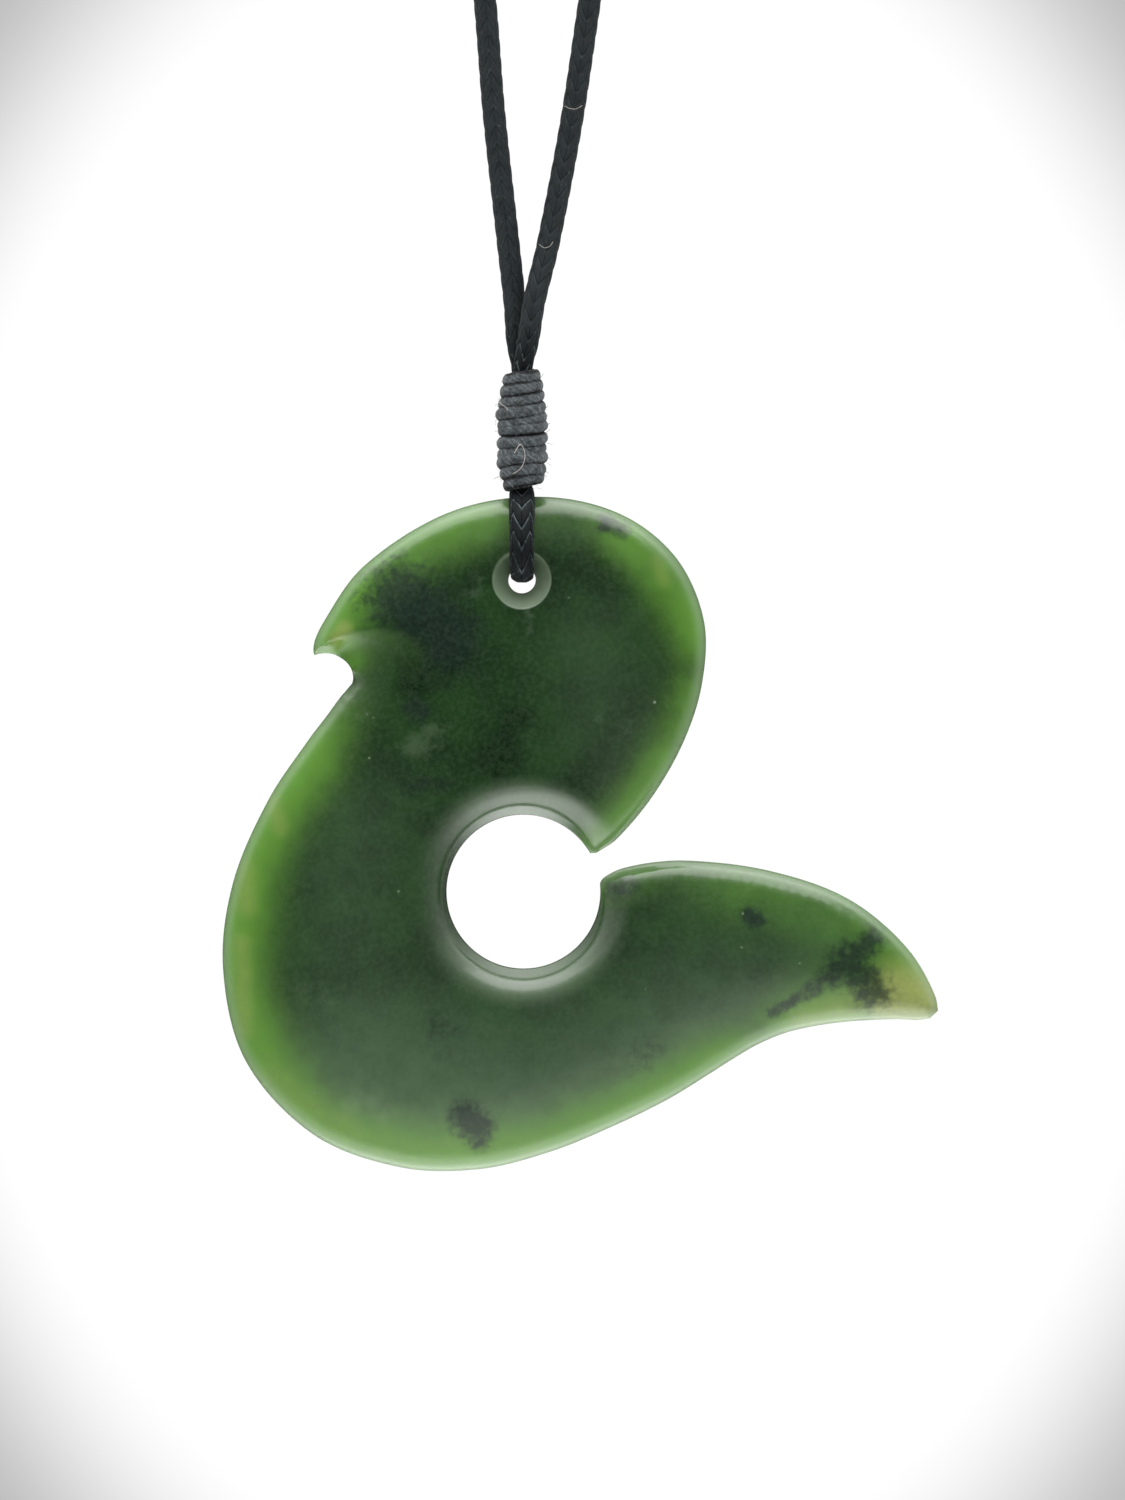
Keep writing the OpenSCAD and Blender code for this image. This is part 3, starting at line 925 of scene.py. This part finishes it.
    def notch_edge(self, height, count=90):
        """Closed curve where the scoop is at a height, as points of the stone's plane."""
        apex, axis, angle = self.notch_cone()
        u = np.cross(axis, [0, 0, 1.0])
        u /= np.linalg.norm(u)
        v = np.cross(axis, u)
        turn = 2 * np.pi * np.arange(count) / count
        rays = math.cos(angle) * axis + math.sin(angle) * (
            np.cos(turn)[:, None] * u + np.sin(turn)[:, None] * v
        )
        reach = (-height - apex[1]) / rays[:, 1]
        points = apex + reach[:, None] * rays
        return points[:, [0, 2]]

    def sink_height(self, p):
        """Height of the countersink's cone."""
        s = self.s
        face = self.thick / 2 - mm(s.sink_depth)
        slope = (mm(s.sink_diameter) / 2 - self.hole_r) / mm(s.sink_depth)
        return face + (np.linalg.norm(p, axis=1) - self.hole_r) / slope


def ring_points(centre, radius, count, shift=0.0):
    turn = 2 * np.pi * (np.arange(count) + shift) / count
    return np.asarray(centre) + radius * np.stack([np.cos(turn), np.sin(turn)], axis=1)


def hex_grid(low, high, step):
    """Points of a plane in rows, each shifted by half a step from the last."""
    rows = []
    for k, z in enumerate(np.arange(low[1], high[1], step * math.sqrt(0.75))):
        x = np.arange(low[0] + (step / 2 if k % 2 else 0), high[0], step)
        rows.append(np.stack([x, np.full(len(x), z)], axis=1))
    return np.concatenate(rows)


def face_points(shape, step):
    """Points of a face: near its edges, around the cord hole, on a grid and along the ridge."""
    loop, edge = shape.loop, closed(shape.loop)
    ahead = unit(np.roll(loop, -1, 0) - np.roll(loop, 1, 0))
    square = np.stack([ahead[:, 1], -ahead[:, 0]], axis=1)
    if not inside_loop(loop[5:6] + 0.05 * square[5:6], loop)[0]:
        square = -square
    near_edge = []
    for offset in EDGE_OFFSETS:
        ring = (loop + offset * square)[:: 1 if offset < 0.7 else 2]
        ring = ring[inside_loop(ring, loop)]
        near_edge.append(ring[distance_to_line(ring, edge) > 0.93 * offset])
    around = [
        ring_points((0, 0), shape.hole_r + HOLE_STEP * k, HOLE_SIDES, 0.5 * (k % 2))
        for k in range(1, HOLE_RINGS)
    ]
    low, high = loop.min(0), loop.max(0)
    grid = hex_grid(low, high, step)
    grid = grid[inside_loop(grid, loop)]
    grid = grid[distance_to_line(grid, edge) > 1.2]
    grid = grid[np.linalg.norm(grid, axis=1) > shape.hole_r + HOLE_STEP * HOLE_RINGS]
    # The ridge where the notch's scoop leaves the face has a finer grid of its own
    fine = hex_grid(low, high, RIDGE_STEP)
    fine = fine[np.linalg.norm(fine - shape.place(*NOTCH_AT), axis=1) < 9]
    fine = fine[inside_loop(fine, loop)]
    to_edge = distance_to_line(fine, shape.outline)
    gap = shape.base_height(fine, to_edge) - shape.notch_height(fine)
    fine = fine[(np.abs(gap) < 0.3) & (distance_to_line(fine, edge) > 0.1)]
    return np.concatenate(near_edge + around + [grid, fine])


def patch_values(points, shape, patches):
    """Strength of a table of soft patches at each point."""
    total = np.zeros(len(points))
    for x0, z0, x1, z1, radius, strength in patches:
        line = np.stack([shape.place(x0, z0), shape.place(x1, z1)])
        near = np.exp(-((distance_to_line(points, line) / radius) ** 2))
        total = np.maximum(total, strength * near)
    return total


def relaxed(values, edges, movable, rounds):
    """Values at the points, evened out along the edges wherever they may move."""
    count = len(values)
    degree = np.bincount(edges.ravel(), minlength=count).clip(1)
    for _ in range(rounds):
        total = np.bincount(edges[:, 0], values[edges[:, 1]], count)
        total += np.bincount(edges[:, 1], values[edges[:, 0]], count)
        values = np.where(movable, 0.5 * values + 0.5 * total / degree, values)
    return values


def open_edges_of(directed, count):
    """Edges that only one face has."""
    keys = directed[:, 0] * count + directed[:, 1]
    return directed[~np.isin(keys, directed[:, 1] * count + directed[:, 0])]


def round_corner(flat, corner, reach, pairs, open_edges):
    """The points of a face, with the corner of its edge rounded off."""
    near = np.linalg.norm(flat - corner, axis=1) < reach
    on_edge = np.zeros(len(flat), bool)
    on_edge[open_edges.ravel()] = True
    for _ in range(CORNER_ROUNDS):
        for edges, movable in ((open_edges, near & on_edge), (pairs, near & ~on_edge)):
            flat = np.stack([relaxed(flat[:, k], edges, movable, 1) for k in (0, 1)], axis=1)
    return flat


def cut_face(shape, notch, step):
    """Points and triangles of a flat face, with the cord hole and the notch cut out."""
    hole = ring_points((0, 0), shape.hole_r, HOLE_SIDES)
    rings = [shape.loop, hole, notch]
    points = np.concatenate(rings + [face_points(shape, step)])
    edges, start = [], 0
    for ring in rings:
        n = len(ring)
        edges += [(start + i, start + (i + 1) % n) for i in range(n)]
        start += n
    made = delaunay_2d_cdt([Vector(p) for p in points], edges, [], 0, 1e-5)
    flat = np.array([tuple(v) for v in made[0]])
    tris = np.array([t for t in made[2] if len(t) == 3])
    middle = flat[tris].mean(1)
    gone = inside_loop(middle, hole) | inside_loop(middle, notch)
    tris = tris[inside_loop(middle, shape.loop) & ~gone]
    used = np.unique(tris)
    renumber = np.full(len(flat), -1)
    renumber[used] = np.arange(len(used))
    flat, tris = flat[used], renumber[tris]
    a, b, c = flat[tris[:, 0]], flat[tris[:, 1]], flat[tris[:, 2]]
    ab, ac = b - a, c - a
    turned = ab[:, 0] * ac[:, 1] - ab[:, 1] * ac[:, 0] < 0
    tris[turned] = tris[turned][:, ::-1]
    return flat, tris


def face_heights(shape, flat, pairs, notch):
    """Height of a face at each point, its way in from the rim, and how far it is scooped."""
    to_edge = distance_to_line(flat, shape.outline)
    to_any = distance_to_line(flat, closed(shape.loop))
    from_eye = np.linalg.norm(flat - shape.eye_mid, axis=1) - shape.eye_r
    movable = (to_any > 1.5) & (from_eye > mm(shape.s.eye_rim) - 0.3)
    height = relaxed(shape.base_height(flat, to_edge), pairs, movable, FACE_ROUNDS)
    rim = relaxed(to_edge, pairs, to_any > 1.0, RIM_ROUNDS)
    sunk = soft_min(height, shape.sink_height(flat), 0.12)
    height = np.where(np.linalg.norm(flat, axis=1) < HOLE_REACH, sunk, height)

    # The scoop meets the barb in a crisp ridge. Below, it runs out into an ordinary rounded edge
    from_notch = flat - shape.place(*NOTCH_AT)
    near_notch = np.linalg.norm(from_notch, axis=1) < NOTCH_REACH
    facing = np.degrees(np.arctan2(from_notch[:, 1], from_notch[:, 0]))
    to_final = np.minimum(to_edge, distance_to_line(flat, closed(notch)))
    rounded = relaxed(shape.base_height(flat, to_final), pairs, movable, FACE_ROUNDS)
    below = smoothstep(-facing, -40, 10)
    cut = np.maximum(shape.notch_height(flat), NOTCH_FLOOR)
    run_out = RIDGE_ROUND + 2.0 * smoothstep(-facing, -62, -22)
    run_out = np.where(facing > 140, RIDGE_ROUND, run_out)
    carved = soft_min(height, cut, run_out) * (1 - below) + np.minimum(height, rounded) * below
    scoop = np.where(near_notch, smoothstep(height - carved, 0.02, 0.22) * (1 - below), 0)
    height = np.where(near_notch, carved, height)
    return np.maximum(height, LEAST_HEIGHT), rim, scoop


def close_stone(shape, flat, tris, height, open_edges):
    """Points and faces of front, back and the wall along each open edge, and the edges' points."""
    count = len(flat)
    front = np.stack([flat[:, 0], -height, flat[:, 1]], axis=1)
    back = front * [1, -1, 1]
    faces = [tuple(t) for t in tris] + [tuple(t[::-1] + count) for t in tris]
    normal = np.zeros((count, 2))
    along = flat[open_edges[:, 1]] - flat[open_edges[:, 0]]
    outward = unit(np.stack([along[:, 1], -along[:, 0]], axis=1))
    for column in (0, 1):
        np.add.at(normal, open_edges[:, column], outward)
    rim_ids = np.unique(open_edges)
    normal = unit(normal[rim_ids])
    at_hole = np.linalg.norm(flat[rim_ids], axis=1) < shape.hole_r + 0.05
    layers, rows = [np.arange(count)], []
    for k in range(1, WALL_ROWS):
        share = k / WALL_ROWS
        row = front[rim_ids].copy()
        row[:, 1] *= 1 - 2 * share
        bulge = np.minimum(0.25 * height[rim_ids], 0.05) * math.sin(math.pi * share)
        row[:, [0, 2]] += normal * np.where(at_hole, 0, bulge)[:, None]
        index = np.full(count, -1)
        index[rim_ids] = 2 * count + (k - 1) * len(rim_ids) + np.arange(len(rim_ids))
        layers.append(index)
        rows.append(row)
    layers.append(np.arange(count) + count)
    for i, j in open_edges:
        for upper, lower in zip(layers, layers[1:]):
            faces.append((upper[j], upper[i], lower[i], lower[j]))
    faces = [tuple(int(v) for v in face) for face in faces]
    return np.concatenate([front, back] + rows) + HOLE_AT, faces, rim_ids


def stone_values(shape, flat, rim, scoop):
    """What the stone's colour depends on, at each point of a face."""
    away = flat - shape.eye_mid
    reach = np.linalg.norm(away, axis=1)
    upright = np.abs(away[:, 1]) / reach
    wide = np.exp(-((rim / 5.2) ** 1.7))
    # Painted backlight near the edges, stronger in patches
    painted_backlight = 0.66 * wide * patch_values(flat, shape, PAINTED_BACKLIGHT_PATCHES)
    # The drill's bevel around the cord hole is ground pale. Its lower side, which faces up to the
    # light, is painted paler still
    sink_r = mm(shape.s.sink_diameter) / 2
    ground = 1 - smoothstep(np.linalg.norm(flat, axis=1), sink_r - 0.12, sink_r + 0.02)
    ground *= 0.5 + 0.5 * smoothstep(-flat[:, 1] / sink_r, -0.5, 0.6)
    return {
        # Painted backlight: bright near every edge, with its patches added
        "painted_backlight": np.clip(0.40 * np.exp(-((rim / 2.9) ** 1.5)) + painted_backlight, 0, 1),
        # Painted backlight, yellower, at patches on the edges and the tip
        "olive": patch_values(flat, shape, OLIVE_PATCHES) * np.clip(0.2 + wide, 0, 1),
        "dark": patch_values(flat, shape, DARK_PATCHES),
        # Painted sheen on the lower body
        "painted_sheen": patch_values(flat, shape, PAINTED_SHEEN_PATCHES),
        "wisp": patch_values(flat, shape, WISP_PATCHES),
        # Painted highlight on the eye's rim, strongest above and below the eye
        "eye_highlight": smoothstep(reach - shape.eye_r, 3.4, 1.4) * (0.08 + 0.92 * upright**2),
        "scoop": scoop,
        # Painted highlight along the outermost rim
        "thin": np.exp(-((rim / 0.55) ** 2)),
        "ground": ground,
    }


def carve_hook(shape, step):
    """Points, faces and named values of the whole stone."""
    notch = shape.notch_edge(NOTCH_FLOOR)
    flat, tris = cut_face(shape, notch, step)
    directed = np.concatenate([tris[:, [0, 1]], tris[:, [1, 2]], tris[:, [2, 0]]])
    pairs = np.unique(np.sort(directed, axis=1), axis=0)
    open_edges = open_edges_of(directed, len(flat))
    flat = round_corner(flat, shape.place(*NOTCH_END), CORNER_REACH, pairs, open_edges)
    height, rim, scoop = face_heights(shape, flat, pairs, notch)
    points, faces, rim_ids = close_stone(shape, flat, tris, height, open_edges)
    values = {
        key: np.concatenate([face, face] + [face[rim_ids]] * (WALL_ROWS - 1))
        for key, face in stone_values(shape, flat, rim, scoop).items()
    }
    return points, faces, values


class PENDANT_OT_stone(bpy.types.Operator):
    """Carve the hook of green stone, with its eye, notch and countersunk cord hole"""

    bl_idname = "pendant.stone"
    bl_label = "Carve Stone"

    def execute(self, context):
        s = context.scene.pendant_stone
        step = mm(s.grid) * 1
        points, faces, values = carve_hook(HookShape(s), step)
        piece = make_object(
            "carved_hook", points, faces, polished_stone(s), values, SHARP_EDGE
        )
        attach(piece, "stone")
        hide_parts("hook_stone")
        return {"FINISHED"}


def half_cord(side, scene):
    """Rows of one half of the cord, from the nape down to the hole."""
    cord, stone, twine = scene.pendant_cord, scene.pendant_stone, scene.pendant_twine
    thick, drop = mm(cord.diameter), mm(stone.hole_drop)
    sleeve_y = thick / 2 + JOIN_ROOM + mm(twine.join_wall)
    leg = mm(stone.thickness) / 2 + 0.4 * thick
    top = drop + mm(twine.whipping_gap) + mm(twine.whipping_length)
    rows = [(side * x, sleeve_y, 0, 1, 1) for x in (0.5, mm(twine.join_length) / 2)]
    rows += [
        (side * out * LOOP_W / 2, -ahead * LOOP_OUT, -down * LOOP_DROP, 1, 1)
        for out, ahead, down in NECK_TABLE
    ]
    hx, hy, hz = HOLE_AT
    for left, right, up, apart, squeeze in STRAND_TABLE:
        x = (-left if side < 0 else right) * thick
        y, z = hy - side * apart * STRAND_TOP, hz + top + up * thick
        rows.append((hx + x, y, z, squeeze, squeeze))
    for out, up, squeeze, breadth in THREAD_TABLE:
        rows.append((hx, hy - side * out * leg, hz + up * drop, squeeze, breadth))
    return rows


def cord_route(scene):
    """The cord's route with its squeeze and breadth, finely stepped where the picture shows it."""
    rows = half_cord(-1, scene) + half_cord(1, scene)[::-1]
    dense = smooth_rows(rows, 0.1, 0, 2)
    length = run_along(dense[:, :3])
    step = np.where(dense[:, 2] < SHOWN_BELOW, 0.15, 0.31)
    count = np.concatenate([[0], np.cumsum(np.diff(length) / step[:-1])])
    stations = np.interp(np.arange(int(count[-1]) + 1), count, length)
    route = np.stack([np.interp(stations, length, dense[:, k]) for k in range(5)], axis=1)
    return route, stations


def braid_height(column, stitch):
    """Height of the braid's surface, from 0 in its grooves to 1.

    column counts pairs of columns around the cord, and stitch counts its stitches along it."""
    lean = 2 * np.abs(column - np.floor(column) - 0.5)
    along = stitch + STITCH_LEAN * lean
    off_middle = 2 * np.abs(along - np.floor(along) - 0.5)
    off_column = 2 * np.abs(lean - 0.5)
    return np.sqrt(np.clip(1 - off_middle**3, 0, 1)) * (1 - 0.8 * off_column**6)


class PENDANT_OT_cord(bpy.types.Operator):
    """Braid the neck cord along its whole closed route"""

    bl_idname = "pendant.cord"
    bl_label = "Braid Cord"

    def execute(self, context):
        s = context.scene.pendant_cord
        route, stations = cord_route(context.scene)
        path, squeeze, breadth = route[:, :3], route[:, 3], route[:, 4]
        ups = steady_ups(path, (0, 0, 1))
        turn = np.arange(CORD_SIDES + 1) / CORD_SIDES

        # A pair of columns meets in the middle of the leg's front
        leg = np.argmin(np.linalg.norm(path - (HOLE_AT + [0, -4, 3]), axis=1))
        square = np.cross(path[leg + 1] - path[leg - 1], ups[leg])
        front = math.atan2(-square[1] / np.linalg.norm(square), -ups[leg][1]) / (2 * math.pi)
        column = s.strands // 2 * (turn - front)
        stitch = stations * s.strands / 2 / mm(s.lay)
        height = braid_height(column[None, :-1], stitch[:, None])

        # Above the whipping the strands are plainer, and a little slimmer than the leg
        plain = smoothstep(path[:, 2], PLAIN_FROM, PLAIN_TO)
        slimmer = 1 - PLAIN_SLIMMER * plain
        squeeze, breadth = squeeze * slimmer, breadth * slimmer
        radii = (mm(s.diameter) / 2 - mm(s.relief) * (1 - height)) * squeeze[:, None]
        points, faces = swept_tube(path, ups, radii)
        middle, wider = np.repeat([path[:, 0], breadth / squeeze], CORD_SIDES, axis=1)
        points[:, 0] = middle + (points[:, 0] - middle) * wider
        corners = {
            "column": corner_values(0 * stitch, column),
            "stitch": corner_values(stitch, 0 * column),
        }
        values = {"plain": np.repeat(plain, CORD_SIDES)}
        piece = make_object(
            "braided_neck_cord", points, faces, waxed_braid(s), values, corners=corners
        )
        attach(piece, "necklace")
        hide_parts("neck_cord")
        return {"FINISHED"}


def whipping_foot(scene):
    """Middle of the whipping's foot."""
    gap = mm(scene.pendant_twine.whipping_gap)
    return HOLE_AT + [0, 0, mm(scene.pendant_stone.hole_drop) + gap]


def whipping_radius(height):
    """Half the whipping's width at a height above its foot."""
    heights, radii = np.array(WHIPPING_SHAPE).T
    return np.interp(height, heights, radii)


def oval_path(turn, height, radius, length):
    """Points around the oval that wraps both strands, which part towards the whipping's foot."""
    offset = STRAND_FOOT + (STRAND_TOP - STRAND_FOOT) * np.clip(height / length, 0, 1)
    x = radius * np.cos(turn)
    y = radius * np.sin(turn) + offset * np.tanh(3.0 * np.sin(turn)) / np.tanh(3.0)
    return np.stack([x, y, height], axis=-1)


class PENDANT_OT_whipping(bpy.types.Operator):
    """Wind the twine around both strands just above the stone"""

    bl_idname = "pendant.whipping"
    bl_label = "Wind Whipping"

    def execute(self, context):
        s = context.scene.pendant_twine
        rng = random.Random(WHIPPING_SEED)
        length, turns = mm(s.whipping_length), s.turns
        share = np.arange(turns * TURN_STEPS + 1) / TURN_STEPS
        turn = 2 * np.pi * share + math.pi / 2

        def uneven(knots, low, high):
            """A value that changes at random along the twine."""
            return np.interp(share, knots, [rng.uniform(low, high) for _ in knots])

        knots = np.arange(0, turns + 1, 0.31)
        wander = uneven(knots, -0.2, 0.2)
        puff = uneven(knots, -0.14, 0.08)
        swell = uneven(knots, 0.85, 1.15)
        tilt = uneven(np.arange(turns + 1), -0.05, 0.42) * np.sin(turn + 0.5)
        pitch = (length - 2 * WHIPPING_END) / turns
        height = WHIPPING_END + pitch * share + wander + tilt
        height = np.clip(height, 0.8 * WHIPPING_END, length - 0.8 * WHIPPING_END)
        thick = np.maximum(0.2, (whipping_radius(height) + puff - STRAND_CORE) / 2)
        path = oval_path(turn, height, STRAND_CORE + thick, length)
        ahead = unit(np.gradient(path, axis=0))
        ups = unit([0, 0, 1.0] - ahead[:, 2:] * ahead)

        # The twine is pressed flat against its neighbours, with grooves between its plies
        run = run_along(path)
        around = 2 * np.pi * np.arange(TWINE_SIDES)[None, :] / TWINE_SIDES
        axial = TWINE_HALF * swell[:, None]
        radii = 1 / np.sqrt((np.cos(around) / axial) ** 2 + (np.sin(around) / thick[:, None]) ** 2)
        ply = np.abs(np.cos(around - 2 * np.pi * run[:, None] / PLY_TURN))
        radii = radii * (0.93 + 0.07 * ply**0.7)
        end = np.minimum(share, turns - share)[:, None]
        radii = radii * (0.35 + 0.65 * np.sqrt(np.clip(end / 0.12, 0, 1)))
        points, faces = swept_tube(path, ups, radii)
        # Painted shade: relief falls to nothing in the creases where a turn meets its neighbours
        outward = 1 - smoothstep(np.abs(np.cos(around)), 0.45, 0.92)
        values = {"relief": ((0.7 + 0.3 * ply**0.6) * outward).ravel()}
        around = np.arange(TWINE_SIDES + 1) / TWINE_SIDES
        corners = {"fibre": corner_values(-run / PLY_TURN, around)}
        finish = waxed_twine("charcoal_twine", s)
        points = points + whipping_foot(context.scene)
        piece = make_object("wound_whipping", points, faces, finish, values, corners=corners)
        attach(piece, "necklace")
        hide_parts("whipping")
        return {"FINISHED"}


class PENDANT_OT_join(bpy.types.Operator):
    """Serve the cord's two ends together at the nape with close turns of thread"""

    bl_idname = "pendant.join"
    bl_label = "Wrap Join"

    def execute(self, context):
        s = context.scene.pendant_twine
        length, wall, pitch = mm(s.join_length), mm(s.join_wall), mm(s.join_thread)
        bore = mm(context.scene.pendant_cord.diameter) / 2 + JOIN_ROOM
        sides, rings = JOIN_SIDES, int(length / 0.07) + 1
        along = np.linspace(-length / 2, length / 2, rings)
        turn = 2 * np.pi * np.arange(sides) / sides
        thread = np.abs(np.cos(np.pi * (along[:, None] / pitch + turn[None, :] / (2 * np.pi))))
        outer = bore + wall - 0.16 * (1 - thread**0.6)
        from_end = (length / 2 - np.abs(along))[:, None]
        outer = outer - 0.45 * (1 - np.sqrt(np.clip(from_end / 0.7, 0, 1)))
        x = np.broadcast_to(along[:, None], outer.shape)
        points = [
            np.stack([x, bore + wall + r * np.cos(turn), r * np.sin(turn)], axis=-1).reshape(-1, 3)
            for r in (outer, np.full_like(outer, bore))
        ]
        count, last = rings * sides, (rings - 1) * sides
        quads = tube_quads(rings, sides)
        faces = quads + [tuple(v + count for v in quad[::-1]) for quad in quads]
        for j in range(sides):
            k = (j + 1) % sides
            faces.append((j, j + count, k + count, k))
            faces.append((last + k, last + k + count, last + j + count, last + j))
        # Painted shade in the grooves between the turns of thread
        values = {"relief": np.concatenate([thread.ravel(), np.zeros(count)])}
        finish = waxed_twine("join_thread", s)
        piece = make_object("served_join", np.concatenate(points), faces, finish, values)
        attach(piece, "necklace")
        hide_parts("neck_join")
        return {"FINISHED"}


def join_hairs(name, hairs, material):
    """One object of many thin fibres, each with its path and radius."""
    points, faces = [], []
    for path, radius in hairs:
        radii = np.full((len(path), HAIR_SIDES), radius)
        radii[-1] *= 0.4
        ups = steady_ups(path, np.cross(path[1] - path[0], [0.3, 0.5, 0.81]))
        made, sides = swept_tube(path, ups, radii)
        first = sum(len(p) for p in points)
        points.append(made)
        faces += [tuple(v + first for v in face) for face in sides]
    return make_object(name, np.concatenate(points), faces, material)


class PENDANT_OT_fibres(bpy.types.Operator):
    """Lay the lint and the few loose fibres on the twine and the cord"""

    bl_idname = "pendant.fibres"
    bl_label = "Add Fibres"

    def execute(self, context):
        s = context.scene.pendant_twine
        rng = random.Random(LINT_SEED)
        foot, length = whipping_foot(context.scene), mm(s.whipping_length)
        hairs = []
        for _ in range(s.lint):
            turn = rng.uniform(0, 2 * math.pi)
            height = rng.uniform(0.3, length - 0.3)
            base = oval_path(turn, height, whipping_radius(height) - 0.06, length)
            out = np.array([math.cos(turn), math.sin(turn), rng.uniform(-0.5, 0.5)])
            lean = np.array([rng.uniform(-1, 1) for _ in range(3)])
            size = rng.uniform(0.15, 0.50)
            steps = np.linspace(0, 1, 6)[:, None]
            path = base + size * (steps * out * 0.4 + steps**2 * lean * 0.9) + foot
            hairs.append((path, rng.uniform(0.010, 0.020)))
        grey = uneven_fibre("dark_lint", (0.05, 0.05, 0.055), (0.2, 0.19, 0.19), 0.7)
        lint = join_hairs("twine_lint", hairs, grey)

        # Two of the loose fibres lie on the whipping, and two bow over a strand
        hairs = []
        for points, depth, radius in LOOSE_IN_FRONT:
            flat = smooth_rows(points, 0.12, 0, 1)
            y = np.full(len(flat), depth)
            hairs.append((np.stack([flat[:, 0], y, flat[:, 1]], axis=1) + HOLE_AT, radius))
        for points, middle, lift in LOOSE_ON_STRANDS:
            flat = smooth_rows(points, 0.08, 0, 1)
            y = -np.sqrt(np.clip(1.06**2 - (flat[:, 0] - middle) ** 2, 0, 2)) - lift
            hairs.append((np.stack([flat[:, 0], y, flat[:, 1]], axis=1) + HOLE_AT, 0.018))
        pale = uneven_fibre("pale_fibre", (0.30, 0.27, 0.24), (0.72, 0.68, 0.62), 0.6)
        for piece in (lint, join_hairs("loose_fibres", hairs, pale)):
            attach(piece, "necklace")
        return {"FINISHED"}


class PENDANT_OT_studio(bpy.types.Operator):
    """Set up the plain pale floor, the soft light and the camera"""

    bl_idname = "pendant.studio"
    bl_label = "Set Up Studio"

    def execute(self, context):
        s, scene = context.scene.pendant_studio, context.scene
        centre = Vector(PICTURE_MID)
        rim = ring_points(FLOOR_MID, FLOOR_RADIUS, 96)
        points = np.concatenate([rim, np.full((len(rim), 1), FLOOR_AT)], axis=1)
        floor = make_object("pale_floor", points, [tuple(range(len(rim)))], pale_paper())
        # The polished stone mirrors the tent's own soft low light in place of the floor's rim
        floor.visible_glossy = False

        camera = bpy.data.cameras.new("picture_camera")
        camera.sensor_fit = "VERTICAL"
        camera.sensor_height = SENSOR
        camera.lens = SENSOR * s.distance / s.view_height
        camera.clip_start = 0.01
        view = bpy.data.objects.new("picture_camera", camera)
        view.location = centre + Vector((0, -s.distance, 0))
        view.rotation_euler = (math.pi / 2, 0, 0)
        scene.collection.objects.link(view)
        scene.camera = view

        light = bpy.data.lights.new("top_softbox", "AREA")
        light.shape = "RECTANGLE"
        light.size, light.size_y = SOFTBOX_SIZE
        light.energy = s.top_light
        lamp = bpy.data.objects.new("top_softbox", light)
        lamp.location = SOFTBOX_AT
        lamp.rotation_euler = (centre - lamp.location).to_track_quat("-Z", "Y").to_euler()
        scene.collection.objects.link(lamp)
        scene.view_settings.view_transform = "Standard"
        scene.world = soft_tent(s)
        return {"FINISHED"}


class PENDANT_PT_build(bpy.types.Panel):
    """Lists the steps that build the pendant and its studio"""

    bl_idname = "PENDANT_PT_build"
    bl_label = "Hook Pendant"
    bl_space_type = "VIEW_3D"
    bl_region_type = "UI"
    bl_category = "Pendant"

    def draw(self, context):
        for group in GROUPS:
            box = self.layout.box()
            settings = getattr(context.scene, group)
            for key in settings.__annotations__:
                box.prop(settings, key)
        for step in STEPS:
            self.layout.operator(step.bl_idname)


GROUPS = {
    "pendant_stone": StoneSettings,
    "pendant_cord": CordSettings,
    "pendant_twine": TwineSettings,
    "pendant_studio": StudioSettings,
}
STEPS = (
    PENDANT_OT_studio,
    PENDANT_OT_stone,
    PENDANT_OT_cord,
    PENDANT_OT_whipping,
    PENDANT_OT_join,
    PENDANT_OT_fibres,
)


def register():
    for kind in (*GROUPS.values(), *STEPS, PENDANT_PT_build):
        bpy.utils.register_class(kind)
    for name, kind in GROUPS.items():
        setattr(bpy.types.Scene, name, PointerProperty(type=kind))


def unregister():
    for name in GROUPS:
        delattr(bpy.types.Scene, name)
    for kind in (PENDANT_PT_build, *STEPS[::-1], *list(GROUPS.values())[::-1]):
        bpy.utils.unregister_class(kind)


def main():
    register()
    for step in STEPS:
        group, name = step.bl_idname.split(".")
        getattr(getattr(bpy.ops, group), name)()


if __name__ == "__main__":
    main()
